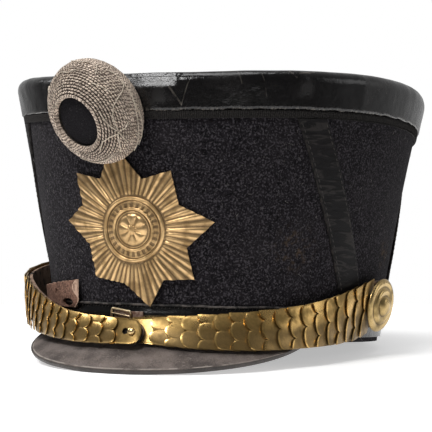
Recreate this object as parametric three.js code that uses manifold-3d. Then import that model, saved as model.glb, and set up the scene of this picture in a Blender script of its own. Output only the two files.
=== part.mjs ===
// A shako: an oval felt crown that widens towards a leather-bound top, with a leather peak,
// a brass star, a round cockade and a chin chain of brass scales fastened over the peak.
// Millimetres, +Z up, the front towards -Y. Angles round the crown start at the front and
// grow towards +X; left and right in the names are as seen from the front.
import * as THREE from 'three';
import Module from 'manifold-3d';
import { mergeVertices } from 'three/addons/utils/BufferGeometryUtils.js';

const wasm = await Module();
wasm.setup();

const radians = THREE.MathUtils.degToRad;
const lerp = THREE.MathUtils.lerp;

// Crown
const BASE_HALF_WIDTH = 89.4;
const BASE_HALF_LENGTH = 105;
const TOP_HALF_WIDTH = 114.4;
const TOP_HALF_LENGTH = 125.2;
const TOP_FORWARD = 6.2; // the top's centre lies this far in front of the base's
const TOP_SIDEWAYS = 0.8; // and this far towards +X
const CROWN_HEIGHT = 135.3;
const FLARE_CURVE = 0.29; // share of the flare that is left to the upper part
const SIDE_RISE = 10; // the rim stands higher over the ears
const REAR_DROP = 6; // and lower at the back
const WALL = 3;
const GAP = 0.3; // between pieces that touch
const SEGMENTS = 60; // round the crown
const TURN_RADIUS = 100; // of a ring before it is bent to the crown
const REST_TILT = radians(4.26); // it rests on the back of its base and on the peak
const REST_FLAT = 0.35; // depth of the flat that the weight presses into felt and leather
const FLOOR_BLOCK = { width: 400, depth: 20 };

// Leather trim on the crown
const BODY_TOP = 131.3; // the disc and the rim lie above the felt
const BODY_HEIGHTS = [0, 18, 44, 70, 94, 114, BODY_TOP]; // rows of facets up the wall
const TOP_DISC = 1.6;
const TOP_DISC_INSET = 2;
const TOP_DISH = 7; // how far the middle of the top lies below its edge
const RIM_LOW = 115.9;
const RIM_LEATHER = 1.8;
const RIM_OUT = GAP + RIM_LEATHER;
const RIM_TURNOVER = 10; // width of the band on the top face
const RIM_ROUND = 4;
const TAPE_LOW = 111.8;
const TAPE_THICKNESS = 1.1;
const BAND_LOW = 2.4;
const BAND_HIGH = 17.4;
const BAND_LEATHER = 1.3;
const SIDE_STRAP_WIDTH = 18;
const SIDE_STRAP_LEATHER = 1.2;
const SIDE_STRAP_LOW = BAND_HIGH + GAP;
const SIDE_STRAP_HIGH = TAPE_LOW - GAP;
const SIDE_STRAP_FOOT = radians(81.5); // angle of the front arm's middle at the base
const SIDE_STRAP_LEAN = radians(0.272); // it swings forward by this for each mm of height
const SIDE_STRAP_MIRROR = radians(92); // the rear arm mirrors the front one about this angle
const SIDE_STRAP_CELLS = { columns: 3, rows: 8 };

// Peak
const PEAK_REACH = 36.2;
const PEAK_HALF_ANGLE = radians(57.7);
const PEAK_MIDDLE = radians(1.3);
const PEAK_SLOPE = radians(32.9);
const PEAK_EDGE_START = 1.84; // height on the wall from which the reach is measured
const PEAK_ROOT = -0.6; // height of its underside at the wall
const PEAK_LEATHER = 2;
const PEAK_END_WIDTH = 1.2;
const PEAK_ROUNDNESS = 0.94; // power that shapes its curved edge
const PEAK_CELLS = { columns: 26, rows: 2 };

// Star
const STAR_ANGLE = radians(1.1);
const STAR_HEIGHT = 55.8;
// Points and valleys of its hand-cut outline: degrees from the lowest direction towards +X
const STAR_OUTLINE = [
  { turn: 12.6, radius: 40.7 },
  { turn: 32.5, radius: 30.4 },
  { turn: 52.2, radius: 40.9 },
  { turn: 72.1, radius: 29.7 },
  { turn: 95.6, radius: 42.2 },
  { turn: 118.1, radius: 27.4 },
  { turn: 146.1, radius: 36.4 },
  { turn: 167.2, radius: 26.6 },
  { turn: 192, radius: 45.5 },
  { turn: 214, radius: 31.4 },
  { turn: 229.1, radius: 44.6 },
  { turn: 248, radius: 33.4 },
  { turn: 264.3, radius: 44.3 },
  { turn: 285.6, radius: 29 },
  { turn: 315.6, radius: 34.8 },
  { turn: 348.8, radius: 28.4 },
];
const STAR_REACH = 42; // mean radius of the points
const STAR_STEPS = 5; // facets along each side of a point
const STAR_SHEET = 0.8;
const STAR_RIDGE = 0.7;
const STAR_DOME = 1.6;
const STAR_SEAT = 0.5; // clearance of its back to the felt
const STAR_LIFT = 1.8; // the lower points stand over the base band
const MEDALLION_RADIUS = 16.2;
const MEDALLION_INNER = 10.2;
const MEDALLION_LIP = 1; // width of the outer ring's slope towards the rays
const MEDALLION_SLOPE = 1.6; // and towards the middle
const MEDALLION_RISE = 0.9; // height of the outer ring over the rays
const MEDALLION_BOSS = 1.2; // height of the middle over the rays
const STAR_HALFWAY = 0.42; // share of a ray at which its facets are divided

// Cockade
const COCKADE_ANGLE = radians(-7);
const COCKADE_HEIGHT = 115.4;
const COCKADE_OUT = 6;
const COCKADE_AIM = radians(-17.5); // where its face looks
const COCKADE_DROOP = radians(29);
const COCKADE_RADIUS = 27.8;
const COCKADE_HALF_DEPTH = 18;
const COCKADE_EYE = 14.8;
const COCKADE_EYE_FLOOR = 11.2;
const COCKADE_EYE_SLOPE = 1; // the eye narrows by this towards its floor
const COCKADE_DISC = 2;
const COCKADE_SEGMENTS = 27;
const COCKADE_STEPS = 9; // from the back to the lip of the eye
const COCKADE_SEAT = 60; // reach of the shape that its back is fitted to

// Chin chain
const STRAP_LEATHER = 2;
const STRAP_INSET = 0.08; // share of the chain's width that the scales reach past the strap
const STRAP_END_INSET = 0.4; // the same at the narrowed ends
const STRAP_TAPER = 7; // length over which the ends narrow
const STRAP_CELLS = { columns: 40, rows: 1 };
const PLATE = 0.6;
const SCALE_LOBE = 3.2;
const SCALE_BULGE = 0.8;
const SCALE_OVERLAP = 4.6;
const SCALE_ASIDE = 0.25; // share of the width by which every second scale's lobes are shifted
const SCALE_GAP = 0.5;
const SCALE_CELLS = { columns: 1, rows: 8 };
const SCALES_RIGHT = 17;
const SCALES_LEFT = 19;
const ROSETTE_RADIUS = 14.7;
const ROSETTE_FROM_END = 12.5;
const ROSETTE_POST = 5.5;
const ROSETTE_POST_HEIGHT = 2.8;
const ROSETTE_SEGMENTS = 22;
// Rings of the rosette's face: how far inside its edge, and how high above its underside
const ROSETTE_RINGS = [
  { inset: 0, rise: 0 },
  { inset: 0, rise: 0.9 },
  { inset: 2.2, rise: 2.2 },
  { inset: 4.4, rise: 1.9 },
  { inset: 6.2, rise: 3.5 },
  { inset: 9, rise: 3.1 },
  { inset: 10.6, rise: 4.9 },
  { inset: ROSETTE_RADIUS, rise: 5.6 },
];
const END_PLATE_LENGTH = 13.5;
const END_PLATE_ROUND = 5;
const END_PLATE_SEAT = 0.5; // clearance that a flat plate needs over the curved strap
const END_PLATE_HOLE = { radius: 1.3, along: 8.6 };
const END_PLATE_CURVE = 8; // facets of the rounded end and of the hole
const STUD = { radius: 2.1, along: 12.6, height: 1.6, shoulderRadius: 1.8, shoulderHeight: 1 };
const STUD_SEGMENTS = 12;
const TONGUE_LENGTH = 12.4;
const TONGUE_ROUND = 2;

// The course of each half of the chain, from behind its rosette to its front end: the angle,
// and the height and the distance from the wall of the strap's upper and lower edge
const RIGHT_COURSE = [
  { angle: 92.7, topZ: 34.8, topOut: 4.3, lowZ: 6.3, lowOut: 4.3 },
  { angle: 85, topZ: 34.3, topOut: 3, lowZ: 5.8, lowOut: 3 },
  { angle: 75, topZ: 29.4, topOut: 2.4, lowZ: 1.9, lowOut: 3 },
  { angle: 66, topZ: 24.3, topOut: 2.4, lowZ: -0.4, lowOut: 5.8 },
  { angle: 54, topZ: 18.7, topOut: 2.6, lowZ: -2.8, lowOut: 9.8 },
  { angle: 38, topZ: 14, topOut: 2.8, lowZ: -5.2, lowOut: 14.2 },
  { angle: 22, topZ: 11.4, topOut: 3.4, lowZ: -5.4, lowOut: 14 },
  { angle: 6, topZ: 9.9, topOut: 4, lowZ: -3.4, lowOut: 10.4 },
  { angle: 0.5, topZ: 9.7, topOut: 4, lowZ: -3.3, lowOut: 10.2 },
];
const LEFT_COURSE = [
  { angle: -97, topZ: 41, topOut: 1.9, lowZ: 11.5, lowOut: 1.9 },
  { angle: -90, topZ: 40.5, topOut: 2.8, lowZ: 10.9, lowOut: 2.8 },
  { angle: -80, topZ: 38.4, topOut: 6.5, lowZ: 9.4, lowOut: 6.5 },
  { angle: -65, topZ: 33, topOut: 10.5, lowZ: 7, lowOut: 11 },
  { angle: -52, topZ: 27.2, topOut: 9, lowZ: 4, lowOut: 11.5 },
  { angle: -38, topZ: 20, topOut: 7.5, lowZ: 0.4, lowOut: 12.5 },
  { angle: -24, topZ: 13.6, topOut: 7.8, lowZ: -2.4, lowOut: 13.2 },
  { angle: -14, topZ: 11.1, topOut: 8.6, lowZ: -3.6, lowOut: 14 },
  { angle: 2, topZ: 9.2, topOut: 9.6, lowZ: -3.7, lowOut: 15.2 },
  { angle: 6.2, topZ: 9, topOut: 9.8, lowZ: -3.6, lowOut: 15.2 },
];

// Tab and buckle
const TAB_FROM = radians(-50);
const TAB_TO = radians(-23.2);
const TAB_LOW = 14.5;
const TAB_HIGH_FROM = 25;
const TAB_HIGH_TO = 29;
const TAB_LEATHER = 1.6;
const TAB_OUT = BAND_LEATHER + 2 * GAP;
const TAB_TORN = 2.2; // depth of the waves in its torn front edge
const TAB_WAVES = 1.2; // number of waves
const TAB_WAVE_START = -0.36; // share of a wave at its lower end
const TAB_CELLS = { columns: 8, rows: 5 };
const TAB_PUNCH_SIDES = 12;
const TAB_HOLE = { angle: radians(-36.2), z: 22.6, halfWidth: 1.1, halfHeight: 1.1 };
const TAB_SLIT = { angle: radians(-28.4), z: 17, halfWidth: 5.2, halfHeight: 1.8 };
const BUCKLE_ANGLE = radians(-3.7);
const BUCKLE_HEIGHT = 11.9;
const BUCKLE_TURN = radians(-8.4);
const BUCKLE_WIDTH = 12.2;
const BUCKLE_TALL = 6.4;
const BUCKLE_WIRE = 1.3;
const BUCKLE_PRONG = 0.9;
const BUCKLE_STRAP_FROM = radians(-6.5);
const BUCKLE_STRAP_TO = radians(3.8);
const BUCKLE_STRAP_TALL = 3.8;
const BUCKLE_STRAP_LEATHER = 1.2;
const BUCKLE_STRAP_CELLS = { columns: 5, rows: 1 };

const FELT = { color: 0x1f1c1f, roughness: 0.95, metalness: 0 };
const BLACK_LEATHER = { color: 0x15130f, roughness: 0.45, metalness: 0 };
const PEAK_LEATHER_FINISH = { color: 0x3a352f, roughness: 0.7, metalness: 0 };
const BROWN_LEATHER = { color: 0x5a3a26, roughness: 0.7, metalness: 0 };
const BRASS = { color: 0xa8873f, roughness: 0.4, metalness: 1 };
const THREAD = { color: 0x8c8068, roughness: 0.55, metalness: 0.4 };
const VELVET = { color: 0x0d0c10, roughness: 1, metalness: 0 };

// The point on the crown's outer face at an angle and a height, moved straight out by out
function wall(angle, z, out) {
  const share = z / CROWN_HEIGHT;
  const flare = share * (1 - FLARE_CURVE + FLARE_CURVE * share);
  const a = lerp(BASE_HALF_WIDTH, TOP_HALF_WIDTH, flare);
  const b = lerp(BASE_HALF_LENGTH, TOP_HALF_LENGTH, flare);
  const sin = Math.sin(angle);
  const cos = Math.cos(angle);
  const normal = new THREE.Vector3(sin / a, -cos / b, 0).normalize();
  const rise = share * (SIDE_RISE * sin * sin - (REAR_DROP * (1 - cos)) / 2);
  const point = new THREE.Vector3(a * sin, -b * cos, z + rise);
  point.x += TOP_SIDEWAYS * flare;
  point.y -= TOP_FORWARD * flare;
  return point.addScaledVector(normal, out);
}

function outward(angle, z) {
  return wall(angle, z, 1).sub(wall(angle, z, 0));
}

// A length across the front, divided by this, is an angle round the crown
function halfWidth(z) {
  return wall(Math.PI / 2, z, 0).x;
}

function signedVolume(position, index) {
  const corner = [new THREE.Vector3(), new THREE.Vector3(), new THREE.Vector3()];
  let volume = 0;
  for (let i = 0; i < index.length; i += 3) {
    corner.forEach((c, k) => c.fromBufferAttribute(position, index[i + k]));
    volume += corner[0].dot(corner[1].cross(corner[2])) / 6;
  }
  return volume;
}

// Moves every vertex of a closed geometry by the function place, joins the seams and keeps
// the faces outwards
function warp(geometry, place) {
  geometry.deleteAttribute('normal');
  geometry.deleteAttribute('uv');
  const shell = mergeVertices(geometry, 1e-4);
  const position = shell.attributes.position;
  const vertex = new THREE.Vector3();
  for (let i = 0; i < position.count; i++) {
    const moved = place(vertex.fromBufferAttribute(position, i));
    position.setXYZ(i, moved.x, moved.y, moved.z);
  }
  const corners = shell.index.array;
  const faces = [];
  for (let i = 0; i < corners.length; i += 3) {
    const [a, b, c] = corners.slice(i, i + 3);
    if (a !== b && b !== c && c !== a) faces.push(a, b, c);
  }
  if (signedVolume(position, faces) < 0) faces.reverse();
  shell.setIndex(faces);
  shell.computeVertexNormals();
  return shell;
}

function toManifold(geometry) {
  return new wasm.Manifold(new wasm.Mesh({
    numProp: 3,
    vertProperties: new Float32Array(geometry.attributes.position.array),
    triVerts: new Uint32Array(geometry.index.array),
  }));
}

function cut(geometry, tool) {
  const mesh = toManifold(geometry).subtract(toManifold(tool)).getMesh();
  const result = new THREE.BufferGeometry();
  result.setAttribute('position', new THREE.BufferAttribute(new Float32Array(mesh.vertProperties), 3));
  result.setIndex([...mesh.triVerts]);
  result.computeVertexNormals();
  return result;
}

// A ring round the crown, from a closed profile of [distance from the wall, height]
function ring(profile) {
  const points = profile.map(([out, z]) => new THREE.Vector2(TURN_RADIUS + out, z));
  const turned = new THREE.LatheGeometry([...points, points[0].clone()], SEGMENTS);
  return warp(turned, (p) => wall(Math.atan2(p.x, p.z), p.y, Math.hypot(p.x, p.z) - TURN_RADIUS));
}

// A plate divided into cells, whose place is a function of two shares and the depth share
function plate(cells, place) {
  const box = new THREE.BoxGeometry(1, 1, 1, cells.columns, cells.rows, 1);
  return warp(box, (p) => place(p.x + 0.5, p.y + 0.5, p.z + 0.5));
}

// A turned piece, from a profile of [radius, height], standing at a point along an axis
function turned(profile, segments, point, axis) {
  const shape = new THREE.LatheGeometry(profile.map(([r, h]) => new THREE.Vector2(r, h)), segments);
  const turn = new THREE.Quaternion().setFromUnitVectors(new THREE.Vector3(0, 1, 0), axis);
  return warp(shape, (p) => p.clone().applyQuaternion(turn).add(point));
}

const hat = new THREE.Group();
hat.rotation.x = -REST_TILT;
hat.position.z = BASE_HALF_LENGTH * Math.sin(REST_TILT) - REST_FLAT;
hat.updateMatrix();

function add(name, geometry, finish) {
  const mesh = new THREE.Mesh(geometry, new THREE.MeshStandardMaterial(finish));
  mesh.name = name;
  hat.add(mesh);
}

// The surface that the hat rests on, as a block in the hat's own frame
const floorShape = new THREE.BoxGeometry(FLOOR_BLOCK.width, FLOOR_BLOCK.width, FLOOR_BLOCK.depth);
const intoHat = hat.matrix.clone().invert();
const floor = warp(floorShape, (p) => {
  return new THREE.Vector3(p.x, p.y, p.z - FLOOR_BLOCK.depth / 2).applyMatrix4(intoHat);
});

// Crown body: the felt wall, open below
const wallProfile = [
  ...BODY_HEIGHTS.map((z) => [0, z]),
  ...BODY_HEIGHTS.toReversed().map((z) => [-WALL, z]),
];
add('crown_body', cut(ring(wallProfile), floor), FELT);

// Crown top: a disc that sinks towards the middle
const discLow = BODY_TOP + GAP;
const discProfile = [
  [0, 0],
  [0.5, 0],
  [1, 0],
  [1, TOP_DISC],
  [0.5, TOP_DISC],
  [0, TOP_DISC],
];
const discShape = new THREE.LatheGeometry(discProfile.map(([r, h]) => new THREE.Vector2(r, h)), SEGMENTS);
const crownTop = warp(discShape, (p) => {
  const share = Math.hypot(p.x, p.z);
  const edge = wall(Math.atan2(p.x, p.z), discLow, -TOP_DISC_INSET);
  const middle = new THREE.Vector3(TOP_SIDEWAYS, -TOP_FORWARD, discLow - TOP_DISH);
  const height = lerp(middle.z, edge.z, share * share) + p.y;
  return middle.lerp(edge, share).setZ(height);
});
add('crown_top', crownTop, BLACK_LEATHER);

// Rim band: leather round the upper edge, folded over onto the top
const rimTop = CROWN_HEIGHT;
const roundSteps = [0, 45, 90].map(radians);
const rimCorner = (radius) => roundSteps.map((turn) => [
  RIM_OUT - RIM_ROUND + radius * Math.cos(turn),
  rimTop - RIM_ROUND + radius * Math.sin(turn),
]);
const rimProfile = [
  [RIM_OUT, RIM_LOW],
  ...rimCorner(RIM_ROUND),
  [-RIM_TURNOVER, rimTop],
  [-RIM_TURNOVER, rimTop - RIM_LEATHER],
  ...rimCorner(RIM_ROUND - RIM_LEATHER).toReversed(),
  [GAP, RIM_LOW],
];
add('rim_band', ring(rimProfile), BLACK_LEATHER);

// Rim tape and base band: flat bands on the felt
function flatBand(low, high, thickness) {
  return ring([[GAP, low], [GAP + thickness, low], [GAP + thickness, high], [GAP, high]]);
}
add('rim_tape', flatBand(TAPE_LOW, RIM_LOW - GAP, TAPE_THICKNESS), BLACK_LEATHER);
add('base_band', flatBand(BAND_LOW, BAND_HIGH, BAND_LEATHER), BLACK_LEATHER);

// Side straps: two arms on each side that open upwards
function sideStrap(side, front) {
  return plate(SIDE_STRAP_CELLS, (u, v, w) => {
    const z = lerp(SIDE_STRAP_LOW, SIDE_STRAP_HIGH, v);
    const middle = SIDE_STRAP_FOOT - SIDE_STRAP_LEAN * z;
    const angle = front ? middle : 2 * SIDE_STRAP_MIRROR - middle;
    const radius = Math.hypot(wall(angle, z, 0).x, wall(angle, z, 0).y);
    const across = ((u - 0.5) * SIDE_STRAP_WIDTH) / radius;
    return wall(side * (angle + across), z, GAP + w * SIDE_STRAP_LEATHER);
  });
}
for (const [side, word] of [[-1, 'left'], [1, 'right']]) {
  add(`side_strap_${word}_front`, sideStrap(side, true), BLACK_LEATHER);
  add(`side_strap_${word}_rear`, sideStrap(side, false), BLACK_LEATHER);
}

// Peak: a sheet from the foot of the crown down to its curved edge
const peak = plate(PEAK_CELLS, (u, v, w) => {
  const share = 2 * u - 1;
  const angle = PEAK_MIDDLE + share * PEAK_HALF_ANGLE;
  const fullness = Math.pow(1 - share * share, PEAK_ROUNDNESS);
  const reach = lerp(PEAK_END_WIDTH, PEAK_REACH, fullness);
  const out = outward(angle, 0);
  const root = wall(angle, PEAK_ROOT, GAP);
  const edge = wall(angle, PEAK_EDGE_START, 0).addScaledVector(out, reach * Math.cos(PEAK_SLOPE));
  edge.z -= reach * Math.sin(PEAK_SLOPE);
  const upward = out.multiplyScalar(Math.sin(PEAK_SLOPE)).setZ(Math.cos(PEAK_SLOPE));
  return root.lerp(edge, v).addScaledVector(upward, PEAK_LEATHER * w);
});
add('peak', cut(peak, floor), PEAK_LEATHER_FINISH);

// Star badge: rays round a ringed medallion, bent to the crown
// The outline's direction and radius at a step, on the straight side between two corners
function starEdge(step) {
  const side = Math.floor(step / STAR_STEPS);
  const from = STAR_OUTLINE[side];
  const to = STAR_OUTLINE[(side + 1) % STAR_OUTLINE.length];
  const span = radians((to.turn - from.turn + 360) % 360);
  const turn = (span * (step % STAR_STEPS)) / STAR_STEPS;
  const area = from.radius * to.radius * Math.sin(span);
  const radius = area / (from.radius * Math.sin(turn) + to.radius * Math.sin(span - turn));
  return { turn: radians(from.turn) + turn, radius };
}
const starProfile = [
  { radius: 0, edge: 0, height: 0, ridge: 0 },
  { radius: MEDALLION_INNER, edge: 0, height: 0, ridge: 0 },
  { radius: MEDALLION_INNER, edge: STAR_HALFWAY, height: 0, ridge: 0 },
  { radius: 0, edge: 1, height: 0, ridge: 0 },
  { radius: 0, edge: 1, height: STAR_SHEET, ridge: 0.5 },
  { radius: MEDALLION_INNER, edge: STAR_HALFWAY, height: STAR_SHEET, ridge: 1 },
  { radius: MEDALLION_RADIUS + MEDALLION_LIP, edge: 0, height: STAR_SHEET, ridge: 1 },
  { radius: MEDALLION_RADIUS, edge: 0, height: STAR_SHEET + MEDALLION_RISE, ridge: 0 },
  { radius: MEDALLION_RADIUS - MEDALLION_SLOPE, edge: 0, height: STAR_SHEET, ridge: 0 },
  { radius: MEDALLION_INNER, edge: 0, height: STAR_SHEET + MEDALLION_RISE, ridge: 0 },
  { radius: 0, edge: 0, height: STAR_SHEET + MEDALLION_BOSS, ridge: 0 },
];
const starLast = starProfile.length - 1;
const starSteps = starProfile.map((row, i) => new THREE.Vector2(i % starLast ? 1 : 0, i));
const starSides = STAR_OUTLINE.length * STAR_STEPS;
const starShape = new THREE.LatheGeometry(starSteps, starSides);
const star = warp(starShape, (p) => {
  const row = starProfile[Math.round(p.y)];
  const step = Math.round((Math.atan2(p.x, p.z) / (2 * Math.PI) + 1) * starSides) % starSides;
  const edge = starEdge(step);
  const radius = row.radius + row.edge * edge.radius;
  const x = radius * Math.sin(edge.turn);
  const z = STAR_HEIGHT - radius * Math.cos(edge.turn);
  const share = radius / STAR_REACH;
  const rib = step % 2 ? 0 : row.ridge * STAR_RIDGE;
  const lift = STAR_LIFT * share * share * Math.max(0, Math.cos(edge.turn));
  const out = STAR_SEAT + STAR_DOME * Math.max(0, 1 - share) + lift + row.height + rib;
  return wall(STAR_ANGLE + x / halfWidth(STAR_HEIGHT), z, out);
});
add('star_badge', star, BRASS);

// Cockade: a bun whose back is shaped to the rim, with a round eye in its face
const cockadeMiddle = wall(COCKADE_ANGLE, COCKADE_HEIGHT, COCKADE_OUT);
const cockadeAxis = new THREE.Vector3(
  Math.sin(COCKADE_AIM) * Math.cos(COCKADE_DROOP),
  -Math.cos(COCKADE_AIM) * Math.cos(COCKADE_DROOP),
  -Math.sin(COCKADE_DROOP),
);
const lipTurn = Math.acos(COCKADE_EYE / COCKADE_RADIUS);
const bunProfile = [];
for (let i = 0; i <= COCKADE_STEPS; i++) {
  const turn = lerp(-Math.PI / 2, lipTurn, i / COCKADE_STEPS);
  const radius = i ? COCKADE_RADIUS * Math.cos(turn) : 0;
  bunProfile.push([radius, COCKADE_HALF_DEPTH * Math.sin(turn)]);
}
bunProfile.push([COCKADE_EYE - COCKADE_EYE_SLOPE, COCKADE_EYE_FLOOR], [0, COCKADE_EYE_FLOOR]);
const seatSurface = RIM_OUT + GAP;
const envelope = ring([
  [-COCKADE_SEAT, COCKADE_HEIGHT - COCKADE_SEAT],
  [seatSurface, COCKADE_HEIGHT - COCKADE_SEAT],
  [seatSurface, COCKADE_HEIGHT],
  [seatSurface, COCKADE_HEIGHT + COCKADE_SEAT],
  [-COCKADE_SEAT, COCKADE_HEIGHT + COCKADE_SEAT],
]);
const bun = turned(bunProfile, COCKADE_SEGMENTS, cockadeMiddle, cockadeAxis);
add('cockade_winding', cut(bun, envelope), THREAD);
const eyeLow = COCKADE_EYE_FLOOR + GAP;
const eyeRadius = COCKADE_EYE - COCKADE_EYE_SLOPE - GAP;
const eyeProfile = [
  [0, eyeLow],
  [eyeRadius, eyeLow],
  [eyeRadius, eyeLow + COCKADE_DISC / 2],
  [0, eyeLow + COCKADE_DISC],
];
const eyeDisc = turned(eyeProfile, COCKADE_SEGMENTS, cockadeMiddle, cockadeAxis);
add('cockade_centre', eyeDisc, VELVET);

// Chin chain: gives a point at a distance along a course, a share of its width from the
// lower edge, and a height over the strap's inner face
function makeCourse(rows, side) {
  const through = (pick) => new THREE.CatmullRomCurve3(rows.map(pick));
  const top = through((row) => wall(radians(row.angle), row.topZ, row.topOut));
  const low = through((row) => wall(radians(row.angle), row.lowZ, row.lowOut));
  const middle = through((row, i) => top.points[i].clone().lerp(low.points[i], 0.5));
  const length = middle.getLength();
  function normal(distance) {
    const t = middle.getUtoTmapping(distance / length);
    const up = top.getPoint(t).sub(low.getPoint(t));
    return middle.getTangent(t).cross(up).multiplyScalar(-side).normalize();
  }
  function place(distance, across, height) {
    const t = middle.getUtoTmapping(distance / length);
    return low.getPoint(t).lerp(top.getPoint(t), across).addScaledVector(normal(distance), height);
  }
  function width(distance) {
    return place(distance, 0, 0).distanceTo(place(distance, 1, 0));
  }
  return { length, normal, place, width };
}

const rosetteProfile = [
  [0, GAP],
  [ROSETTE_POST, GAP],
  [ROSETTE_POST, ROSETTE_POST_HEIGHT],
  ...ROSETTE_RINGS.map((row) => [ROSETTE_RADIUS - row.inset, ROSETTE_POST_HEIGHT + row.rise]),
];

const firstScale = ROSETTE_FROM_END + ROSETTE_POST + 2 * GAP;
const shingleRise = PLATE + SCALE_GAP;

// One scale: its free end has round lobes and lies over the next scale. The lobes of every
// second scale stand aside by a quarter of the width
function scale(course, start, pitch, aside) {
  const lobes = (v) => Math.sqrt(Math.max(0, 1 - (4 * ((v + aside) % 0.5) - 1) ** 2));
  return plate(SCALE_CELLS, (u, v, w) => {
    const reach = u * (pitch + SCALE_OVERLAP - SCALE_LOBE * (1 - lobes(v)));
    const seat = STRAP_LEATHER + GAP + (shingleRise * reach) / pitch;
    const bulge = SCALE_BULGE * u * lobes(v);
    return course.place(start + reach, v, seat + bulge + PLATE * w);
  });
}

// An end plate rises like a scale, but only over half a pitch
function plateSeat(along, pitch) {
  return STRAP_LEATHER + END_PLATE_SEAT + shingleRise * Math.min(along / pitch, 0.5);
}

// A flat plate that covers the end of a strap, as the next scale would
function endPlate(course, start, length, pitch, round, hole) {
  const half = course.width(start) / 2;
  const outline = new THREE.Shape();
  outline.moveTo(0, -half);
  outline.lineTo(length - round, -half);
  outline.absellipse(length - round, 0, round, half, -Math.PI / 2, Math.PI / 2);
  outline.lineTo(0, half);
  outline.closePath();
  if (hole) {
    const opening = new THREE.Path();
    opening.absarc(hole.along, 0, hole.radius, 0, 2 * Math.PI, true);
    outline.holes.push(opening);
  }
  const sheet = new THREE.ExtrudeGeometry(outline, {
    depth: PLATE,
    bevelEnabled: false,
    curveSegments: END_PLATE_CURVE,
  });
  return warp(sheet, (p) => {
    return course.place(start + p.x, 0.5 + p.y / (2 * half), plateSeat(p.x, pitch) + p.z);
  });
}

function chainHalf(rows, side, word, count, endLength) {
  const course = makeCourse(rows, side);
  const strap = plate(STRAP_CELLS, (u, v, w) => {
    const fromEnd = Math.min(u, 1 - u) * course.length;
    const narrow = Math.max(0, 1 - fromEnd / STRAP_TAPER);
    const inset = lerp(STRAP_INSET, STRAP_END_INSET, 1 - Math.sqrt(1 - narrow * narrow));
    return course.place(u * course.length, lerp(inset, 1 - inset, v), w * STRAP_LEATHER);
  });
  add(`chin_strap_${word}`, strap, BLACK_LEATHER);
  const seat = course.place(ROSETTE_FROM_END, 0.5, STRAP_LEATHER);
  const rosetteAxis = course.normal(ROSETTE_FROM_END);
  add(`rosette_${word}`, turned(rosetteProfile, ROSETTE_SEGMENTS, seat, rosetteAxis), BRASS);
  const pitch = (course.length - endLength - firstScale - SCALE_OVERLAP) / count;
  for (let i = 0; i < count; i++) {
    const number = String(i + 1).padStart(2, '0');
    const aside = i % 2 ? SCALE_ASIDE : 0;
    add(`chin_scale_${word}_${number}`, scale(course, firstScale + i * pitch, pitch, aside), BRASS);
  }
  return { course, pitch, end: firstScale + count * pitch };
}

const right = chainHalf(RIGHT_COURSE, 1, 'right', SCALES_RIGHT, TONGUE_LENGTH);
const left = chainHalf(LEFT_COURSE, -1, 'left', SCALES_LEFT, END_PLATE_LENGTH);
const tongueLength = TONGUE_LENGTH + SCALE_OVERLAP - GAP;
const tongue = endPlate(right.course, right.end, tongueLength, right.pitch, TONGUE_ROUND, null);
add('chin_tongue_plate', tongue, BRASS);
const endLength = END_PLATE_LENGTH + SCALE_OVERLAP - GAP;
const endShape = endPlate(left.course, left.end, endLength, left.pitch, END_PLATE_ROUND, END_PLATE_HOLE);
add('chin_end_plate', endShape, BRASS);

// Stud: a round head on the end plate
const studAlong = left.end + STUD.along;
const studSeat = plateSeat(STUD.along, left.pitch) + PLATE + GAP;
const studProfile = [
  [0, 0],
  [STUD.radius, 0],
  [STUD.shoulderRadius, STUD.shoulderHeight],
  [0, STUD.height],
];
const studPlace = left.course.place(studAlong, 0.5, studSeat);
add('chin_stud', turned(studProfile, STUD_SEGMENTS, studPlace, left.course.normal(studAlong)), BRASS);

// Tie tab: a strip behind the left half of the chain, with a torn end and a hole
const tab = plate(TAB_CELLS, (u, v, w) => {
  const torn = u * TAB_TORN * Math.cos(2 * Math.PI * (TAB_WAVE_START + v * TAB_WAVES));
  const z = lerp(TAB_LOW, lerp(TAB_HIGH_FROM, TAB_HIGH_TO, u), v);
  return wall(lerp(TAB_FROM, TAB_TO, u) + torn / halfWidth(z), z, TAB_OUT + w * TAB_LEATHER);
});
function punch(hole) {
  const pin = new THREE.CylinderGeometry(1, 1, 4 * TAB_LEATHER, TAB_PUNCH_SIDES);
  return warp(pin, (p) => {
    const angle = hole.angle + (p.x * hole.halfWidth) / halfWidth(hole.z);
    return wall(angle, hole.z + p.z * hole.halfHeight, TAB_OUT + p.y);
  });
}
add('tie_tab', cut(cut(tab, punch(TAB_HOLE)), punch(TAB_SLIT)), BROWN_LEATHER);

// Buckle: a short strap on the base band, and a frame with its prong on top of it
const buckleStrapOut = BAND_LEATHER + 2 * GAP;
const buckleStrap = plate(BUCKLE_STRAP_CELLS, (u, v, w) => {
  const z = BUCKLE_HEIGHT + (v - 0.5) * BUCKLE_STRAP_TALL;
  const angle = lerp(BUCKLE_STRAP_FROM, BUCKLE_STRAP_TO, u);
  return wall(angle, z, buckleStrapOut + w * BUCKLE_STRAP_LEATHER);
});
add('buckle_strap', buckleStrap, BROWN_LEATHER);
const halfBuckle = { x: BUCKLE_WIDTH / 2, y: BUCKLE_TALL / 2 };
function rectangle(path, x0, y0, x1, y1) {
  return path.moveTo(x0, y0).lineTo(x1, y0).lineTo(x1, y1).lineTo(x0, y1);
}
const frameShape = rectangle(new THREE.Shape(), -halfBuckle.x, -halfBuckle.y, halfBuckle.x, halfBuckle.y);
const inner = { x: halfBuckle.x - BUCKLE_WIRE, y: halfBuckle.y - BUCKLE_WIRE };
const prong = BUCKLE_PRONG / 2;
for (const [low, high] of [[-inner.y, -prong], [prong, inner.y]]) {
  frameShape.holes.push(rectangle(new THREE.Path(), -inner.x, low, inner.x, high));
}
const frameSheet = new THREE.ExtrudeGeometry(frameShape, { depth: BUCKLE_WIRE, bevelEnabled: false });
const frameOut = buckleStrapOut + BUCKLE_STRAP_LEATHER + GAP;
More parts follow.
